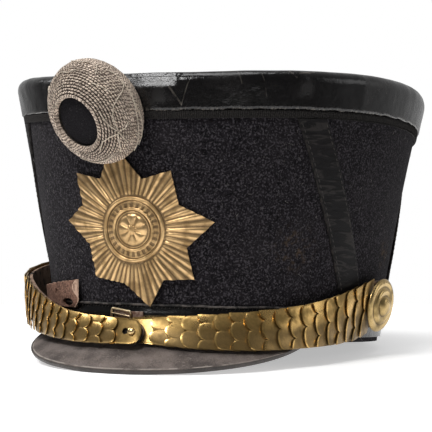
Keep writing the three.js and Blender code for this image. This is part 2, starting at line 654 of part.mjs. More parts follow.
const frame = warp(frameSheet, (p) => {
  const x = p.x * Math.cos(BUCKLE_TURN) - p.y * Math.sin(BUCKLE_TURN);
  const z = BUCKLE_HEIGHT + p.x * Math.sin(BUCKLE_TURN) + p.y * Math.cos(BUCKLE_TURN);
  return wall(BUCKLE_ANGLE + x / halfWidth(z), z, frameOut + p.z);
});
add('buckle_frame', frame, BRASS);

// The origin is under the middle of the whole hat, on the surface that it rests on
const box = new THREE.Box3().setFromObject(hat, true);
const boxMiddle = box.getCenter(new THREE.Vector3());
hat.position.x -= boxMiddle.x;
hat.position.y -= boxMiddle.y;

export default hat;
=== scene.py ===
import math

import bmesh
import bpy
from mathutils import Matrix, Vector, noise


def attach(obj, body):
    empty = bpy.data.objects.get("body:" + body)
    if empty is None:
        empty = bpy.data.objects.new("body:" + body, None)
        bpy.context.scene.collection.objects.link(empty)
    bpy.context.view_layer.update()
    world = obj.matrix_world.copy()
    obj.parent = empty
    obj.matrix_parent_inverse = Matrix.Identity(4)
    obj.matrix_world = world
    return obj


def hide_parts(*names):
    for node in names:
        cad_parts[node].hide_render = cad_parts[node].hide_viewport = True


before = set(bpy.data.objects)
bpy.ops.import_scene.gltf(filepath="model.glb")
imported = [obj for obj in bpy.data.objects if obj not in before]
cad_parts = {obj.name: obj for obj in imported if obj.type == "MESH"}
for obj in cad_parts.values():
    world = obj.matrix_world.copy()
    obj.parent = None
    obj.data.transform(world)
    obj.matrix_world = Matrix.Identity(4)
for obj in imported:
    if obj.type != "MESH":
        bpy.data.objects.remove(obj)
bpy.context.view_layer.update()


# Studio: the hat stands on a plain pale floor in soft light from large white boxes.
# A long lens looks at it from just above the peak, a little to the right of the front.
MM = 0.001
HAT_ORIGIN = Vector((-0.7697, 6.8781, 7.4497))  # the middle of the hat's base, in mm
REST_TILT = math.radians(4.26)  # the hat leans back on its base, with the peak as its foot


def aim(thing, place, target):
    thing.location = place
    thing.rotation_euler = (Vector(target) - Vector(place)).to_track_quat("-Z", "Y").to_euler()
    bpy.context.scene.collection.objects.link(thing)


lens = bpy.data.cameras.new("camera")
lens.sensor_width = 36
lens.lens = 134.82
camera = bpy.data.objects.new("camera", lens)
aim(camera, (0.38639, -0.84484, 0.09625), (-0.00211, 0.00606, 0.07666))
bpy.context.scene.camera = camera


def soft_box(name, place, target, width, height, power):
    lamp = bpy.data.lights.new(name, "AREA")
    lamp.shape = "RECTANGLE"
    lamp.size = width
    lamp.size_y = height
    lamp.energy = power
    aim(bpy.data.objects.new(name, lamp), place, target)


soft_box("key_light", (-0.17, -1.06, 1.06), (0, 0, 0.07), 0.62, 0.36, 12)
soft_box("left_light", (-1.05, -0.25, 0.95), (0, 0, 0.07), 0.6, 0.6, 8)
soft_box("right_light", (1.25, 0.35, 0.45), (0, 0, 0.07), 0.5, 0.6, 1.2)
soft_box("top_light", (0.0, -0.1, 1.35), (0, 0, 0.1), 0.9, 0.6, 8)

world = bpy.data.worlds.new("studio")
bpy.context.scene.world = world
world.use_nodes = True
sky = world.node_tree.nodes
sky.clear()
room_light = sky.new("ShaderNodeBackground")
backdrop = sky.new("ShaderNodeBackground")
backdrop.inputs["Strength"].default_value = 1.0
backdrop.inputs["Color"].default_value = (1, 1, 1, 1)
room_light.inputs["Color"].default_value = (1, 1, 1, 1)
sky_way = sky.new("ShaderNodeTexCoord")
sky_parts = sky.new("ShaderNodeSeparateXYZ")
behind = sky.new("ShaderNodeMapRange")
for limit, value in (("From Min", -0.1), ("From Max", 0.8), ("To Min", 0.06), ("To Max", 0.5)):
    behind.inputs[limit].default_value = value
seen = sky.new("ShaderNodeLightPath")
either = sky.new("ShaderNodeMixShader")
sky_end = sky.new("ShaderNodeOutputWorld")
for source, into in (
        (sky_way.outputs["Generated"], sky_parts.inputs[0]),
        (sky_parts.outputs["Y"], behind.inputs["Value"]),
        (behind.outputs[0], room_light.inputs["Strength"]),
        (seen.outputs["Is Camera Ray"], either.inputs[0]),
        (room_light.outputs[0], either.inputs[1]),
        (backdrop.outputs[0], either.inputs[2]),
        (either.outputs[0], sky_end.inputs[0])):
    world.node_tree.links.new(source, into)
bpy.context.scene.view_settings.view_transform = "Standard"

FLOOR_GLOW = [  # radius in m, and how much the white floor shines by itself there
    (0.05, 0.45), (0.2, 0.5), (0.28, 0.7), (0.36, 0.95), (0.37, 1.0)]
FLOOR_SIDES = 64


def mark(mesh, name, values):
    """Gives each point of a mesh a value of its own, for a finish to read."""
    mesh.attributes.new(name, "FLOAT", "POINT").data.foreach_set("value", values)


floor_mesh = bpy.data.meshes.new("floor")
floor_turns = [k * math.tau / FLOOR_SIDES for k in range(FLOOR_SIDES)]
floor_points = [(radius * math.cos(turn), radius * math.sin(turn), 0)
                for radius, _ in FLOOR_GLOW for turn in floor_turns]
floor_faces = [tuple(range(FLOOR_SIDES))]
for ring in range(0, (len(FLOOR_GLOW) - 1) * FLOOR_SIDES, FLOOR_SIDES):
    for k in range(FLOOR_SIDES):
        a, b = ring + k, ring + (k + 1) % FLOOR_SIDES
        floor_faces.append((a, a + FLOOR_SIDES, b + FLOOR_SIDES, b))
floor_mesh.from_pydata(floor_points, [], floor_faces)
mark(floor_mesh, "glow", [glow for _, glow in FLOOR_GLOW for k in range(FLOOR_SIDES)])
floor = bpy.data.objects.new("floor", floor_mesh)
bpy.context.scene.collection.objects.link(floor)
floor_paint = bpy.data.materials.new("floor_paint")
floor_paint.use_nodes = True
floor_skin = floor_paint.node_tree.nodes["Principled BSDF"].inputs
floor_skin["Base Color"].default_value = (0.80, 0.80, 0.80, 1)
floor_skin["Roughness"].default_value = 0.9
floor_skin["Emission Strength"].default_value = 1
floor_glow = floor_paint.node_tree.nodes.new("ShaderNodeAttribute")
floor_glow.attribute_name = "glow"
floor_paint.node_tree.links.new(floor_glow.outputs["Color"], floor_skin["Emission Color"])
floor_mesh.materials.append(floor_paint)


# Crown: black wool felt pulled over a stiff board in an oval cone that widens upwards.
# It is open below for the head, and its raw upper edge is hidden under the leather rim.
BASE_HALF_WIDTH, BASE_HALF_LENGTH = 89.4, 105
TOP_HALF_WIDTH, TOP_HALF_LENGTH = 114.4, 125.2
TOP_FORWARD, TOP_SIDEWAYS = 6.2, 0.8
CROWN_HEIGHT = 135.3
FLARE_CURVE = 0.29
SIDE_RISE, REAR_DROP = 10, 6
FELT_TOP, FELT_WALL, GAP = 131.3, 3, 0.3
FELT_THINNED, THIN_FROM, THIN_TO = 1.4, 120, 128  # the felt is skived where the rim hides it


def mix(a, b, share):
    return a + (b - a) * share


def soft_step(low, high, value):
    share = min(1, max(0, (value - low) / (high - low)))
    return share * share * (3 - 2 * share)


def wall_mm(angle, z, out):
    """The point out mm from the crown's face, in the hat's own frame."""
    share = z / CROWN_HEIGHT
    flare = share * (1 - FLARE_CURVE + FLARE_CURVE * share)
    a = mix(BASE_HALF_WIDTH, TOP_HALF_WIDTH, flare)
    b = mix(BASE_HALF_LENGTH, TOP_HALF_LENGTH, flare)
    sin, cos = math.sin(angle), math.cos(angle)
    straight_out = Vector((sin / a, -cos / b, 0)).normalized()
    rise = share * (SIDE_RISE * sin * sin - REAR_DROP * (1 - cos) / 2)
    face = Vector((a * sin + TOP_SIDEWAYS * flare, -b * cos - TOP_FORWARD * flare, z + rise))
    return face + out * straight_out


def stand(point):
    """Takes a point of the hat's own frame, in mm, to where the standing hat has it, in m."""
    y = point.y * math.cos(REST_TILT) + point.z * math.sin(REST_TILT)
    z = point.z * math.cos(REST_TILT) - point.y * math.sin(REST_TILT)
    placed = (Vector((point.x, y, z)) + HAT_ORIGIN) * MM
    placed.z = max(placed.z, 0)
    return placed


def wall(angle, z, out):
    return stand(wall_mm(angle, z, out))


def half_width(z):
    return wall_mm(math.pi / 2, z, 0).x


def ripple(size, *place):
    """A smooth wave between -1 and 1, in bumps of about that size in mm."""
    return noise.noise(Vector(place) / size)


def loft(columns, profile, place, closed):
    """Sweeps a closed profile along columns: returns points, faces and each corner's UV."""
    rows = len(profile)
    count = columns if closed else columns + 1
    points = [place(i / columns, *spot) for i in range(count) for spot in profile]
    faces = []
    corners = []
    for i in range(columns):
        here, there = i * rows, (i + 1) % count * rows
        for k in range(rows):
            up = (k + 1) % rows
            faces.append((here + k, there + k, there + up, here + up))
            left, right = i / columns, (i + 1) / columns
            low, high = k / rows, (k + 1) / rows
            corners += [(left, low), (right, low), (right, high), (left, high)]
    if not closed:
        for start in (0, columns * rows):
            faces.append(tuple(range(start, start + rows)))
            corners += [(start / (columns * rows), k / rows) for k in range(rows)]
    return points, faces, corners


def to_mesh(name, points, faces, corners=None):
    mesh = bpy.data.meshes.new(name)
    mesh.from_pydata(points, [], faces)
    if corners:
        layer = mesh.uv_layers.new(name="UVMap")
        layer.uv.foreach_set("vector", [number for pair in corners for number in pair])
    return mesh


def tidy_mesh(mesh, crease=50):
    """Joins doubles, turns the faces outwards and shades the mesh smooth up to a crease angle."""
    body = bmesh.new()
    body.from_mesh(mesh)
    bmesh.ops.remove_doubles(body, verts=body.verts, dist=1e-6)
    bmesh.ops.recalc_face_normals(body, faces=body.faces)
    if body.calc_volume(signed=True) < 0:
        bmesh.ops.reverse_faces(body, faces=body.faces)
    body.to_mesh(mesh)
    body.free()
    mesh.shade_smooth()
    mesh.set_sharp_from_angle(angle=math.radians(crease))
    return mesh


def show(mesh, finish, nodes=()):
    """Puts a finished mesh on the hat, in place of the solids that it stands for."""
    mesh.materials.clear()
    mesh.materials.append(finish)
    piece = bpy.data.objects.new(mesh.name, mesh)
    bpy.context.scene.collection.objects.link(piece)
    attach(piece, "root")
    if nodes:
        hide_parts(*nodes)
    return piece


class Shade:
    """A socket of a finish's nodes. Sums on it add Math nodes, and node() adds any other."""

    def __init__(self, tree, socket=None):
        self.tree = tree
        self.socket = socket

    def node(self, kind, settings, sockets, out=0):
        made = self.tree.nodes.new("ShaderNode" + kind)
        for name, value in settings.items():
            setattr(made, name, value)
        for name, value in sockets.items():
            if isinstance(value, Shade):
                self.tree.links.new(value.socket, made.inputs[name])
            else:
                made.inputs[name].default_value = value
        return Shade(self.tree, made.outputs[out] if made.outputs else None)

    def sum(self, operation, a, b):
        return self.node("Math", {"operation": operation}, {0: a, 1: b})

    def __add__(self, other):
        return self.sum("ADD", self, other)

    def __sub__(self, other):
        return self.sum("SUBTRACT", self, other)

    def __rsub__(self, other):
        return self.sum("SUBTRACT", other, self)

    def __mul__(self, other):
        return self.sum("MULTIPLY", self, other)

    __radd__ = __add__
    __rmul__ = __mul__

    def between(self, low, high):
        """0 where the value is below low and 1 where it is above high."""
        steps = {"Value": self, "From Min": low, "From Max": high}
        return self.node("MapRange", {"interpolation_type": "SMOOTHSTEP"}, steps)

    def blend(self, a, b):
        """A colour that goes from a to b as this value goes from 0 to 1."""
        ends = {0: self}
        for socket, colour in ((6, a), (7, b)):
            ends[socket] = colour if isinstance(colour, Shade) else (*colour, 1)
        return self.node("Mix", {"data_type": "RGBA"}, ends, 2)

    def grain(self, scale, detail=2):
        """Cloudy noise; scale counts its bumps in a metre of the hat."""
        where = self.node("TexCoord", {}, {}, "Object")
        return self.node("TexNoise", {}, {"Vector": where, "Scale": scale, "Detail": detail})

    def near(self, point, reach):
        """1 at a point of the hat, in m, falling to 0 at that reach."""
        where = self.node("TexCoord", {}, {}, "Object")
        away = self.node("VectorMath", {"operation": "DISTANCE"}, {0: where, 1: point}, "Value")
        return 1 - away.between(0, reach)

    def own(self, name):
        """The piece's own value of that name."""
        return self.node("Attribute", {"attribute_name": name}, {}, "Fac")

    def uv(self, out):
        where = self.node("TexCoord", {}, {}, "UV")
        return self.node("SeparateXYZ", {}, {0: where}, out)

    def bump(self, height, distance, strength=1.0):
        return self.node("Bump", {}, {"Height": height, "Distance": distance, "Strength": strength})

    def surface(self, sockets):
        skin = self.node("BsdfPrincipled", {}, sockets)
        self.node("OutputMaterial", {}, {"Surface": skin})


def new_finish(name):
    finish = bpy.data.materials.new(name)
    finish.use_nodes = True
    finish.node_tree.nodes.clear()
    return finish, Shade(finish.node_tree)


def dent(angle, z):
    """The felt isn't quite even: it swells and sinks a little from the blocking."""
    place = (math.sin(angle) * 100, math.cos(angle) * 100, z)
    return 0.35 * ripple(45, *place) + 0.12 * ripple(14, *place)


felt, shade = new_finish("felt")
nap = shade.grain(520, 4)
fibre = shade.grain(2600, 2)
wear = shade.grain(38, 3)
cloud = (nap * 0.55 + fibre * 0.45).between(0.36, 0.66)
charcoal = cloud.blend((0.0022, 0.0019, 0.0024), (0.0165, 0.0145, 0.0170))
greyed = (wear.between(0.45, 0.75) * 0.35).blend(charcoal, (0.022, 0.0195, 0.021))
flock = (shade.grain(1000, 1).between(0.48, 0.74) * 0.9).blend(greyed, (0.062, 0.056, 0.063))
speck = shade.grain(1500, 1).between(0.69, 0.75) * shade.grain(210, 2).between(0.44, 0.58)
dusty = (speck * 0.6).blend(flock, (0.17, 0.155, 0.150))
rust = shade.near(wall(math.radians(50.5), 47, 0), 0.017) + shade.near(wall(math.radians(95), 47, 0), 0.013)
stained = (rust * shade.grain(330, 3).between(0.48, 0.66) * 0.4).blend(dusty, (0.10, 0.062, 0.030))
shade.surface({
    "Base Color": stained,
    "Roughness": 0.96,
    "Specular IOR Level": 0.05,
    "Sheen Weight": 0.02,
    "Sheen Roughness": 0.6,
    "Normal": shade.bump(nap * 0.6 + fibre * 0.4, 0.0005, 0.8),
})

felt_rows = 44
felt_profile = [(FELT_TOP * k / felt_rows, 0) for k in range(felt_rows + 1)]
felt_profile += [(FELT_TOP * (1 - k / 12), -FELT_WALL) for k in range(13)]


def felt_place(u, z, out):
    thinned = FELT_THINNED * soft_step(THIN_FROM, THIN_TO, z) * (out > -1)
    return wall(u * math.tau, z, out + dent(u * math.tau, z) - thinned)


crown = loft(240, felt_profile, felt_place, True)
show(tidy_mesh(to_mesh("crown_felt", *crown), 60), felt, ["crown_body"])


# Lint: short pale fibres that cling to the nap of the felt all round the crown.
# One tree of nodes strews them, and each lies as it fell.
def node_tree(name, inputs):
    """A Geometry Nodes tree with named inputs; returns it with its ends and an adder."""
    tree = bpy.data.node_groups.new(name, "GeometryNodeTree")
    tree.interface.new_socket("Geometry", in_out="INPUT", socket_type="NodeSocketGeometry")
    for label, kind in inputs:
        tree.interface.new_socket(label, in_out="INPUT", socket_type="NodeSocket" + kind)
    tree.interface.new_socket("Geometry", in_out="OUTPUT", socket_type="NodeSocketGeometry")
    start = tree.nodes.new("NodeGroupInput").outputs
    end = tree.nodes.new("NodeGroupOutput").inputs

    def add(kind, settings, sockets, out=0):
        made = tree.nodes.new(kind)
        for key, value in settings.items():
            setattr(made, key, value)
        for key, value in sockets.items():
            if isinstance(value, bpy.types.NodeSocket):
                tree.links.new(value, made.inputs[key])
            else:
                made.inputs[key].default_value = value
        return made.outputs[out]

    return tree, start, end, add


def grow(tree, mesh, values):
    """Runs a tree on a mesh with the values of its named inputs, and gives the plain mesh."""
    holder = bpy.data.objects.new("holder", mesh)
    bpy.context.scene.collection.objects.link(holder)
    helpers = []
    maker = holder.modifiers.new("maker", "NODES")
    maker.node_group = tree
    for item in tree.interface.items_tree:
        if item.in_out == "INPUT" and item.name in values:
            value = values[item.name]
            if isinstance(value, bpy.types.Mesh):
                value = bpy.data.objects.new("helper", value)
                bpy.context.scene.collection.objects.link(value)
                helpers.append(value)
            maker[item.identifier] = value
    bpy.context.view_layer.update()
    graph = bpy.context.evaluated_depsgraph_get()
    grown = bpy.data.meshes.new_from_object(holder.evaluated_get(graph))
    holder.modifiers.remove(maker)
    for thing in (holder, *helpers):
        bpy.data.objects.remove(thing)
    return grown


def tube(path, radius, sides):
    """A closed tube through points, for small bent pieces."""
    points, faces = [], []
    for i, point in enumerate(path):
        ahead = path[min(i + 1, len(path) - 1)] - path[max(i - 1, 0)]
        across = ahead.orthogonal().normalized()
        over = ahead.cross(across).normalized()
        for k in range(sides):
            turn = k * math.tau / sides
            points.append(point + radius * (math.cos(turn) * across + math.sin(turn) * over))
    for i in range(len(path) - 1):
        for k in range(sides):
            a, b = i * sides + k, i * sides + (k + 1) % sides
            faces.append((a, b, b + sides, a + sides))
    faces.append(tuple(range(sides)))
    faces.append(tuple(range(len(points) - sides, len(points))))
    return points, faces


lint_tree, start, end, add = node_tree("lint_on_felt", [
    ("Fibre", "Object"), ("Density", "Float"), ("Seed", "Int"), ("Finish", "Material")])
cling = lint_tree.nodes.new("GeometryNodeDistributePointsOnFaces")
lint_tree.links.new(start["Geometry"], cling.inputs["Mesh"])
lint_tree.links.new(start["Density"], cling.inputs["Density"])
lint_tree.links.new(start["Seed"], cling.inputs["Seed"])
spin = add("FunctionNodeRandomValue", {"data_type": "FLOAT"}, {3: math.tau, "Seed": 5}, 1)
turn = add("ShaderNodeCombineXYZ", {}, {"Z": spin})
lie = add("FunctionNodeRotateRotation", {"rotation_space": "LOCAL"}, {
    "Rotation": cling.outputs["Rotation"], "Rotate By": add("FunctionNodeEulerToRotation", {}, {0: turn})})
size = add("FunctionNodeRandomValue", {"data_type": "FLOAT"}, {2: 0.35, 3: 1.25, "Seed": 9}, 1)
fibre_shape = add("GeometryNodeObjectInfo", {}, {"Object": start["Fibre"]}, "Geometry")
strewn = add("GeometryNodeInstanceOnPoints", {}, {
    "Points": cling.outputs["Points"], "Instance": fibre_shape, "Rotation": lie, "Scale": size})
real = add("GeometryNodeRealizeInstances", {}, {0: strewn})
done = add("GeometryNodeSetMaterial", {}, {"Geometry": real, "Material": start["Finish"]})
lint_tree.links.new(done, end[0])

lint, shade = new_finish("lint")
pale = shade.grain(700, 1).between(0.35, 0.65)
shade.surface({"Base Color": pale.blend((0.07, 0.065, 0.062), (0.30, 0.28, 0.26)), "Roughness": 0.9})
fibre_path = [Vector((x, 0.16 * x * x - 0.2, 0.05 + 0.10 * (1 - x * x))) * MM for x in (-0.9, -0.4, 0.2, 0.8)]
outer_columns, outer_rows = 96, 24
outer_points = [wall(i * math.tau / outer_columns, FELT_TOP * k / outer_rows, 0.3)
                for i in range(outer_columns) for k in range(outer_rows + 1)]
outer_faces = []
for i in range(outer_columns):
    for k in range(outer_rows):
        a, b = i * (outer_rows + 1) + k, (i + 1) % outer_columns * (outer_rows + 1) + k
        outer_faces.append((a, b, b + 1, a + 1))
lint_mesh = grow(lint_tree, to_mesh("lint", outer_points, outer_faces), {
    "Fibre": to_mesh("fibre", *tube(fibre_path, 0.055 * MM, 3)),
    "Density": 9000.0, "Seed": 4, "Finish": lint})
lint_mesh.name = "felt_lint"
show(lint_mesh, lint)


# Top: a disc of black leather that closes the crown. It has sunk in the middle with age,
# and its edge lies under the fold of the rim.
DISC_LOW = FELT_TOP + GAP
DISC_LEATHER, DISC_INSET, DISC_DISH = 1.6, 2, 7


def black_leather(name, gloss, shine, marks):
    """Old black leather: rubbed grey in places, finely scuffed, and glossy where polish is left."""
    finish, shade = new_finish(name)
    pores = shade.grain(1300, 3)
    rub = shade.grain(48, 4).between(0.50, 0.74)
    scuff = shade.grain(520, 3).between(0.62, 0.76) * rub
    black = pores.between(0.35, 0.7).blend((0.0045, 0.0042, 0.0043), (0.0100, 0.0092, 0.0092))
    rubbed = (rub * 0.5).blend(black, (0.021, 0.019, 0.0185))
    scuffed = (scuff * 0.6).blend(rubbed, (0.075, 0.067, 0.060))
    if marks:
        scuffed = marks(shade).blend(scuffed, (0.20, 0.178, 0.155))
    shade.surface({
        "Base Color": scuffed,
        "Roughness": rub * 0.22 + pores * 0.12 + gloss,
        "Specular IOR Level": shine,
        "Normal": shade.bump(pores * 0.3 + shade.grain(120, 3) * 1.5, 0.00045, 0.7),
    })
    return finish


def disc_place(u, share, height):
    edge = wall_mm(u * math.tau, DISC_LOW, -DISC_INSET)
    middle = Vector((TOP_SIDEWAYS, -TOP_FORWARD, DISC_LOW - DISC_DISH))
    point = middle.lerp(edge, share)
    sag = 0.45 * ripple(30, point.x, point.y, 3) * (1 - share ** 4)
    point.z = mix(middle.z, edge.z, share * share) + height + sag
    return stand(point)


disc_profile = [(k / 20, 0) for k in range(21)] + [(1 - k / 20, DISC_LEATHER) for k in range(21)]
disc_leather = black_leather("disc_leather", 0.34, 0.3, None)
disc = loft(120, disc_profile, disc_place, True)
show(tidy_mesh(to_mesh("top_disc", *disc)), disc_leather, ["crown_top"])


# Rim: a wide band of glossy black leather round the upper edge, folded over onto the top.
# Its cut lower edge has frayed pale, and one upright seam joins its ends at the side.
RIM_LOW, RIM_LEATHER, RIM_TURNOVER, RIM_ROUND, RIM_SHOULDER = 115.9, 1.8, 10, 4, 7
RIM_OUT = GAP + RIM_LEATHER
RIM_SEAM = math.radians(66)
# A thumbed flat beside the cockade: its foot, its slope, and its middle and half width in degrees.
RIM_FLAT_LOW, RIM_FLAT_SLOPE, RIM_FLAT_MIDDLE, RIM_FLAT_HALF = 127, 0.5, 8.2, 8


def rim_corner(middle, radius, turns):
    """A rounded corner as (out, height) points: its middle lies that far in from both faces."""
    return [(RIM_OUT - middle + radius * math.cos(turn), CROWN_HEIGHT - middle + radius * math.sin(turn))
            for turn in turns]


quarter = [k * math.pi / 16 for k in range(9)]
rim_outer = [(RIM_OUT - 0.5, RIM_LOW)]
rim_outer += [(RIM_OUT, mix(RIM_LOW + 0.5, CROWN_HEIGHT - RIM_SHOULDER, k / 10)) for k in range(10)]
rim_outer += rim_corner(RIM_SHOULDER, RIM_SHOULDER, [k * math.pi / 28 for k in range(15)])
rim_outer += [(mix(RIM_OUT - RIM_SHOULDER, -RIM_TURNOVER, k / 5), CROWN_HEIGHT) for k in range(1, 5)]
rim_outer += [(-RIM_TURNOVER, CROWN_HEIGHT - 0.4)]
rim_inner = [(-RIM_TURNOVER, CROWN_HEIGHT - RIM_LEATHER)]
rim_inner += rim_corner(RIM_ROUND, RIM_ROUND - RIM_LEATHER, reversed(quarter)) + [(GAP, RIM_LOW)]


def plateau(value, middle, half):
    """1 over a stretch of values, falling to 0 at its two ends."""
    return soft_step(half, half * 0.75, abs(value - middle))


def rim_place(u, out, z):
    angle = u * math.tau
    around = (math.sin(angle) * 110, math.cos(angle) * 110)
    upper = soft_step(RIM_LOW, RIM_LOW + 10, z)
    swell = 0.30 * ripple(26, *around, z) * upper + 0.18 * ripple(9, *around, z) * upper
    frayed = 0.55 * ripple(7, *around, 0) + 0.3 * ripple(2.5, *around, 0)
    frayed *= soft_step(RIM_LOW + 3, RIM_LOW, z)
    seam = 0.25 * math.exp(-((angle - RIM_SEAM) * 115 / 1.2) ** 2) * (out > GAP + 0.6)
    flat = RIM_OUT - RIM_FLAT_SLOPE * max(0, z - RIM_FLAT_LOW) - (RIM_LEATHER if out <= GAP else 0)
    thumbed = plateau(math.degrees(angle), RIM_FLAT_MIDDLE, RIM_FLAT_HALF) * (out > -RIM_TURNOVER / 2)
    pressed = thumbed * max(0, out - flat)
    return wall(angle, z + frayed + swell * 0.5, out + swell * (1 - 0.7 * (pressed > 0)) + seam - pressed)


SCRATCHES = [  # angle and share of the rim's height at each end, and half width in mm
    (7.5, 1.0, 16, 0.08, 0.34), (19.5, 0.95, 16, 0.08, 0.24), (19.5, 0.95, 22.5, 1.1, 0.3),
    (43, 0.95, 45, 0.66, 0.5), (45, 0.92, 49, 0.82, 0.4), (46, 0.8, 50.5, 0.88, 0.35),
    (30, 0.9, 31, 0.45, 0.16), (36, 0.75, 37.5, 0.2, 0.14), (-20, 0.9, -20.8, 0.3, 0.16),
    (74, 0.85, 74.8, 0.4, 0.14), (80, 0.8, 79, 0.25, 0.16)]
SCRATCH_ROUND, SCRATCH_ROW, SCRATCH_ROWS = 0.115, 0.0008, 22  # rim's radius and a row's height in m


def rim_marks(shade):
    """Pale scratches in the polish, and the frayed cut edge below."""
    rows = len(rim_outer + rim_inner)
    frayed = (1 - shade.uv("Y").between(0.0, 0.05)) * shade.grain(700, 3).between(0.44, 0.62) * 0.6
    where = shade.node("Mapping", {}, {
        "Vector": shade.node("TexCoord", {}, {}, "UV"),
        "Scale": (math.tau * SCRATCH_ROUND, rows * SCRATCH_ROW, 0)})
    for from_angle, from_share, to_angle, to_share, half in SCRATCHES:
        a, b = [
            Vector((math.radians(angle % 360) * SCRATCH_ROUND, (1 + SCRATCH_ROWS * share) * SCRATCH_ROW, 0))
            for angle, share in ((from_angle, from_share), (to_angle, to_share))]
        ahead = shade.node("VectorMath", {"operation": "SUBTRACT"}, {0: where, 1: a})
        along = shade.node("VectorMath", {"operation": "DOT_PRODUCT"}, {
            0: ahead, 1: (b - a) / (b - a).length_squared}, "Value")
        part = shade.node("Clamp", {}, {0: along})
        foot = shade.node("VectorMath", {"operation": "SCALE"}, {0: b - a, "Scale": part})
        away = shade.node("VectorMath", {"operation": "DISTANCE"}, {0: ahead, 1: foot}, "Value")
        broken = shade.grain(330, 3).between(0.38, 0.58)
        frayed = frayed + (1 - away.between(half * MM * 0.3, half * MM * 1.7)) * broken * 0.32
    return frayed


rim_leather = black_leather("rim_leather", 0.10, 0.42, rim_marks)
rim = loft(480, rim_outer + rim_inner, rim_place, True)
show(tidy_mesh(to_mesh("rim", *rim)), rim_leather, ["rim_band"])


# Tape: a narrow dark ribbed tape sewn on under the rim, where the leather meets the felt.
# Each rib is a cord of the weave, and they stand side by side right round the crown.
TAPE_LOW, TAPE_HIGH, TAPE_THICK = 111.8, RIM_LOW - GAP, 0.7
TAPE_RIBS = 640

bend_tree, start, end, add = node_tree("row_on_sheet", [
    ("Unit", "Object"), ("Sheet", "Object"), ("Count", "Int"), ("Start", "Vector"), ("Step", "Vector"),
    ("Length", "Float"), ("Width", "Float"), ("Jitter", "Float"), ("Seed", "Int"), ("Finish", "Material")])
line = add("GeometryNodeMeshLine", {"mode": "OFFSET"}, {
    "Count": start["Count"], "Start Location": start["Start"], "Offset": start["Step"]})
stray = add("FunctionNodeRandomValue", {"data_type": "FLOAT_VECTOR"}, {
    0: (-1, -1, 0), 1: (1, 1, 0), "Seed": start["Seed"]})
nudge = add("ShaderNodeVectorMath", {"operation": "SCALE"}, {0: stray, "Scale": start["Jitter"]})
line = add("GeometryNodeSetPosition", {}, {"Geometry": line, "Offset": nudge})
unit = add("GeometryNodeObjectInfo", {}, {"Object": start["Unit"]}, "Geometry")
placed = add("GeometryNodeInstanceOnPoints", {}, {"Points": line, "Instance": unit})
flat = add("GeometryNodeRealizeInstances", {}, {0: placed})
where = add("GeometryNodeInputPosition", {}, {})
split = lambda out: add("ShaderNodeSeparateXYZ", {}, {0: where}, out)
along = add("ShaderNodeMath", {"operation": "DIVIDE"}, {0: split("X"), 1: start["Length"]})
across = add("ShaderNodeMath", {"operation": "DIVIDE"}, {0: split("Y"), 1: start["Width"]})
across = add("ShaderNodeMath", {"operation": "ADD"}, {0: across, 1: 0.5})
spot = add("ShaderNodeCombineXYZ", {}, {"X": along, "Y": across})
sheet = add("GeometryNodeObjectInfo", {}, {"Object": start["Sheet"]}, "Geometry")
uv_name = add("GeometryNodeInputNamedAttribute", {"data_type": "FLOAT_VECTOR"}, {"Name": "UVMap"})
lift_name = add("GeometryNodeInputNamedAttribute", {"data_type": "FLOAT_VECTOR"}, {"Name": "lift"})
foot = add("GeometryNodeSampleUVSurface", {"data_type": "FLOAT_VECTOR"}, {
    "Mesh": sheet, "Value": where, "Source UV Map": uv_name, "Sample UV": spot})
lift = add("GeometryNodeSampleUVSurface", {"data_type": "FLOAT_VECTOR"}, {
    "Mesh": sheet, "Value": lift_name, "Source UV Map": uv_name, "Sample UV": spot})
rise = add("ShaderNodeVectorMath", {"operation": "SCALE"}, {0: lift, "Scale": split("Z")})
bent = add("ShaderNodeVectorMath", {"operation": "ADD"}, {0: foot, 1: rise})
moved = add("GeometryNodeSetPosition", {}, {"Geometry": flat, "Position": bent})
smooth = add("GeometryNodeSetShadeSmooth", {}, {"Geometry": moved, "Shade Smooth": True})
done = add("GeometryNodeSetMaterial", {}, {"Geometry": smooth, "Material": start["Finish"]})
bend_tree.links.new(done, end[0])


def sheet_mesh(columns, rows, place):
    """An open sheet for rows of small pieces: place(u, v) gives its point and the way out of it."""
    points, lifts, faces, corners = [], [], [], []
    edge = 0.02
    for i in range(columns + 1):
        for k in range(rows + 1):
            point, out = place(mix(-edge, 1 + edge, i / columns), mix(-edge, 1 + edge, k / rows))
            points.append(point)
            lifts += list(out)
    for i in range(columns):
        for k in range(rows):
            faces.append([(i + a) * (rows + 1) + k + b for a, b in ((0, 0), (1, 0), (1, 1), (0, 1))])
            corners += [(mix(-edge, 1 + edge, (i + a) / columns), mix(-edge, 1 + edge, (k + b) / rows))
                        for a, b in ((0, 0), (1, 0), (1, 1), (0, 1))]
    mesh = to_mesh("sheet", points, faces, corners)
    mesh.attributes.new("lift", "FLOAT_VECTOR", "POINT").data.foreach_set("vector", lifts)
    return mesh


def wall_sheet(columns, rows, place):
    """A sheet on the crown: place(u, v) gives an angle, a height and a distance from the felt."""
    def on_wall(u, v):
        angle, z, out = place(u, v)
        foot = wall(angle, z, out)
        return foot, (wall(angle, z, out + 1) - foot).normalized()
    return sheet_mesh(columns, rows, on_wall)


def row(name, unit, sheet, count, start, step, length, width, finish, jitter=0.0, seed=0):
    """A row of like units, laid flat along x in m and then bent onto a sheet."""
    seedling = to_mesh(name, [(0, 0, 0)], [])
    grown = grow(bend_tree, seedling, {
        "Unit": unit.copy(), "Sheet": sheet.copy(), "Count": count, "Start": start, "Step": step,
        "Length": length, "Width": width, "Jitter": jitter, "Seed": seed, "Finish": finish})
    grown.name = name
    return grown


def ring_length(z, out):
    ring = [wall(i * math.tau / 360, z, out) for i in range(360)]
    return sum((ring[i] - ring[i - 1]).length for i in range(360))


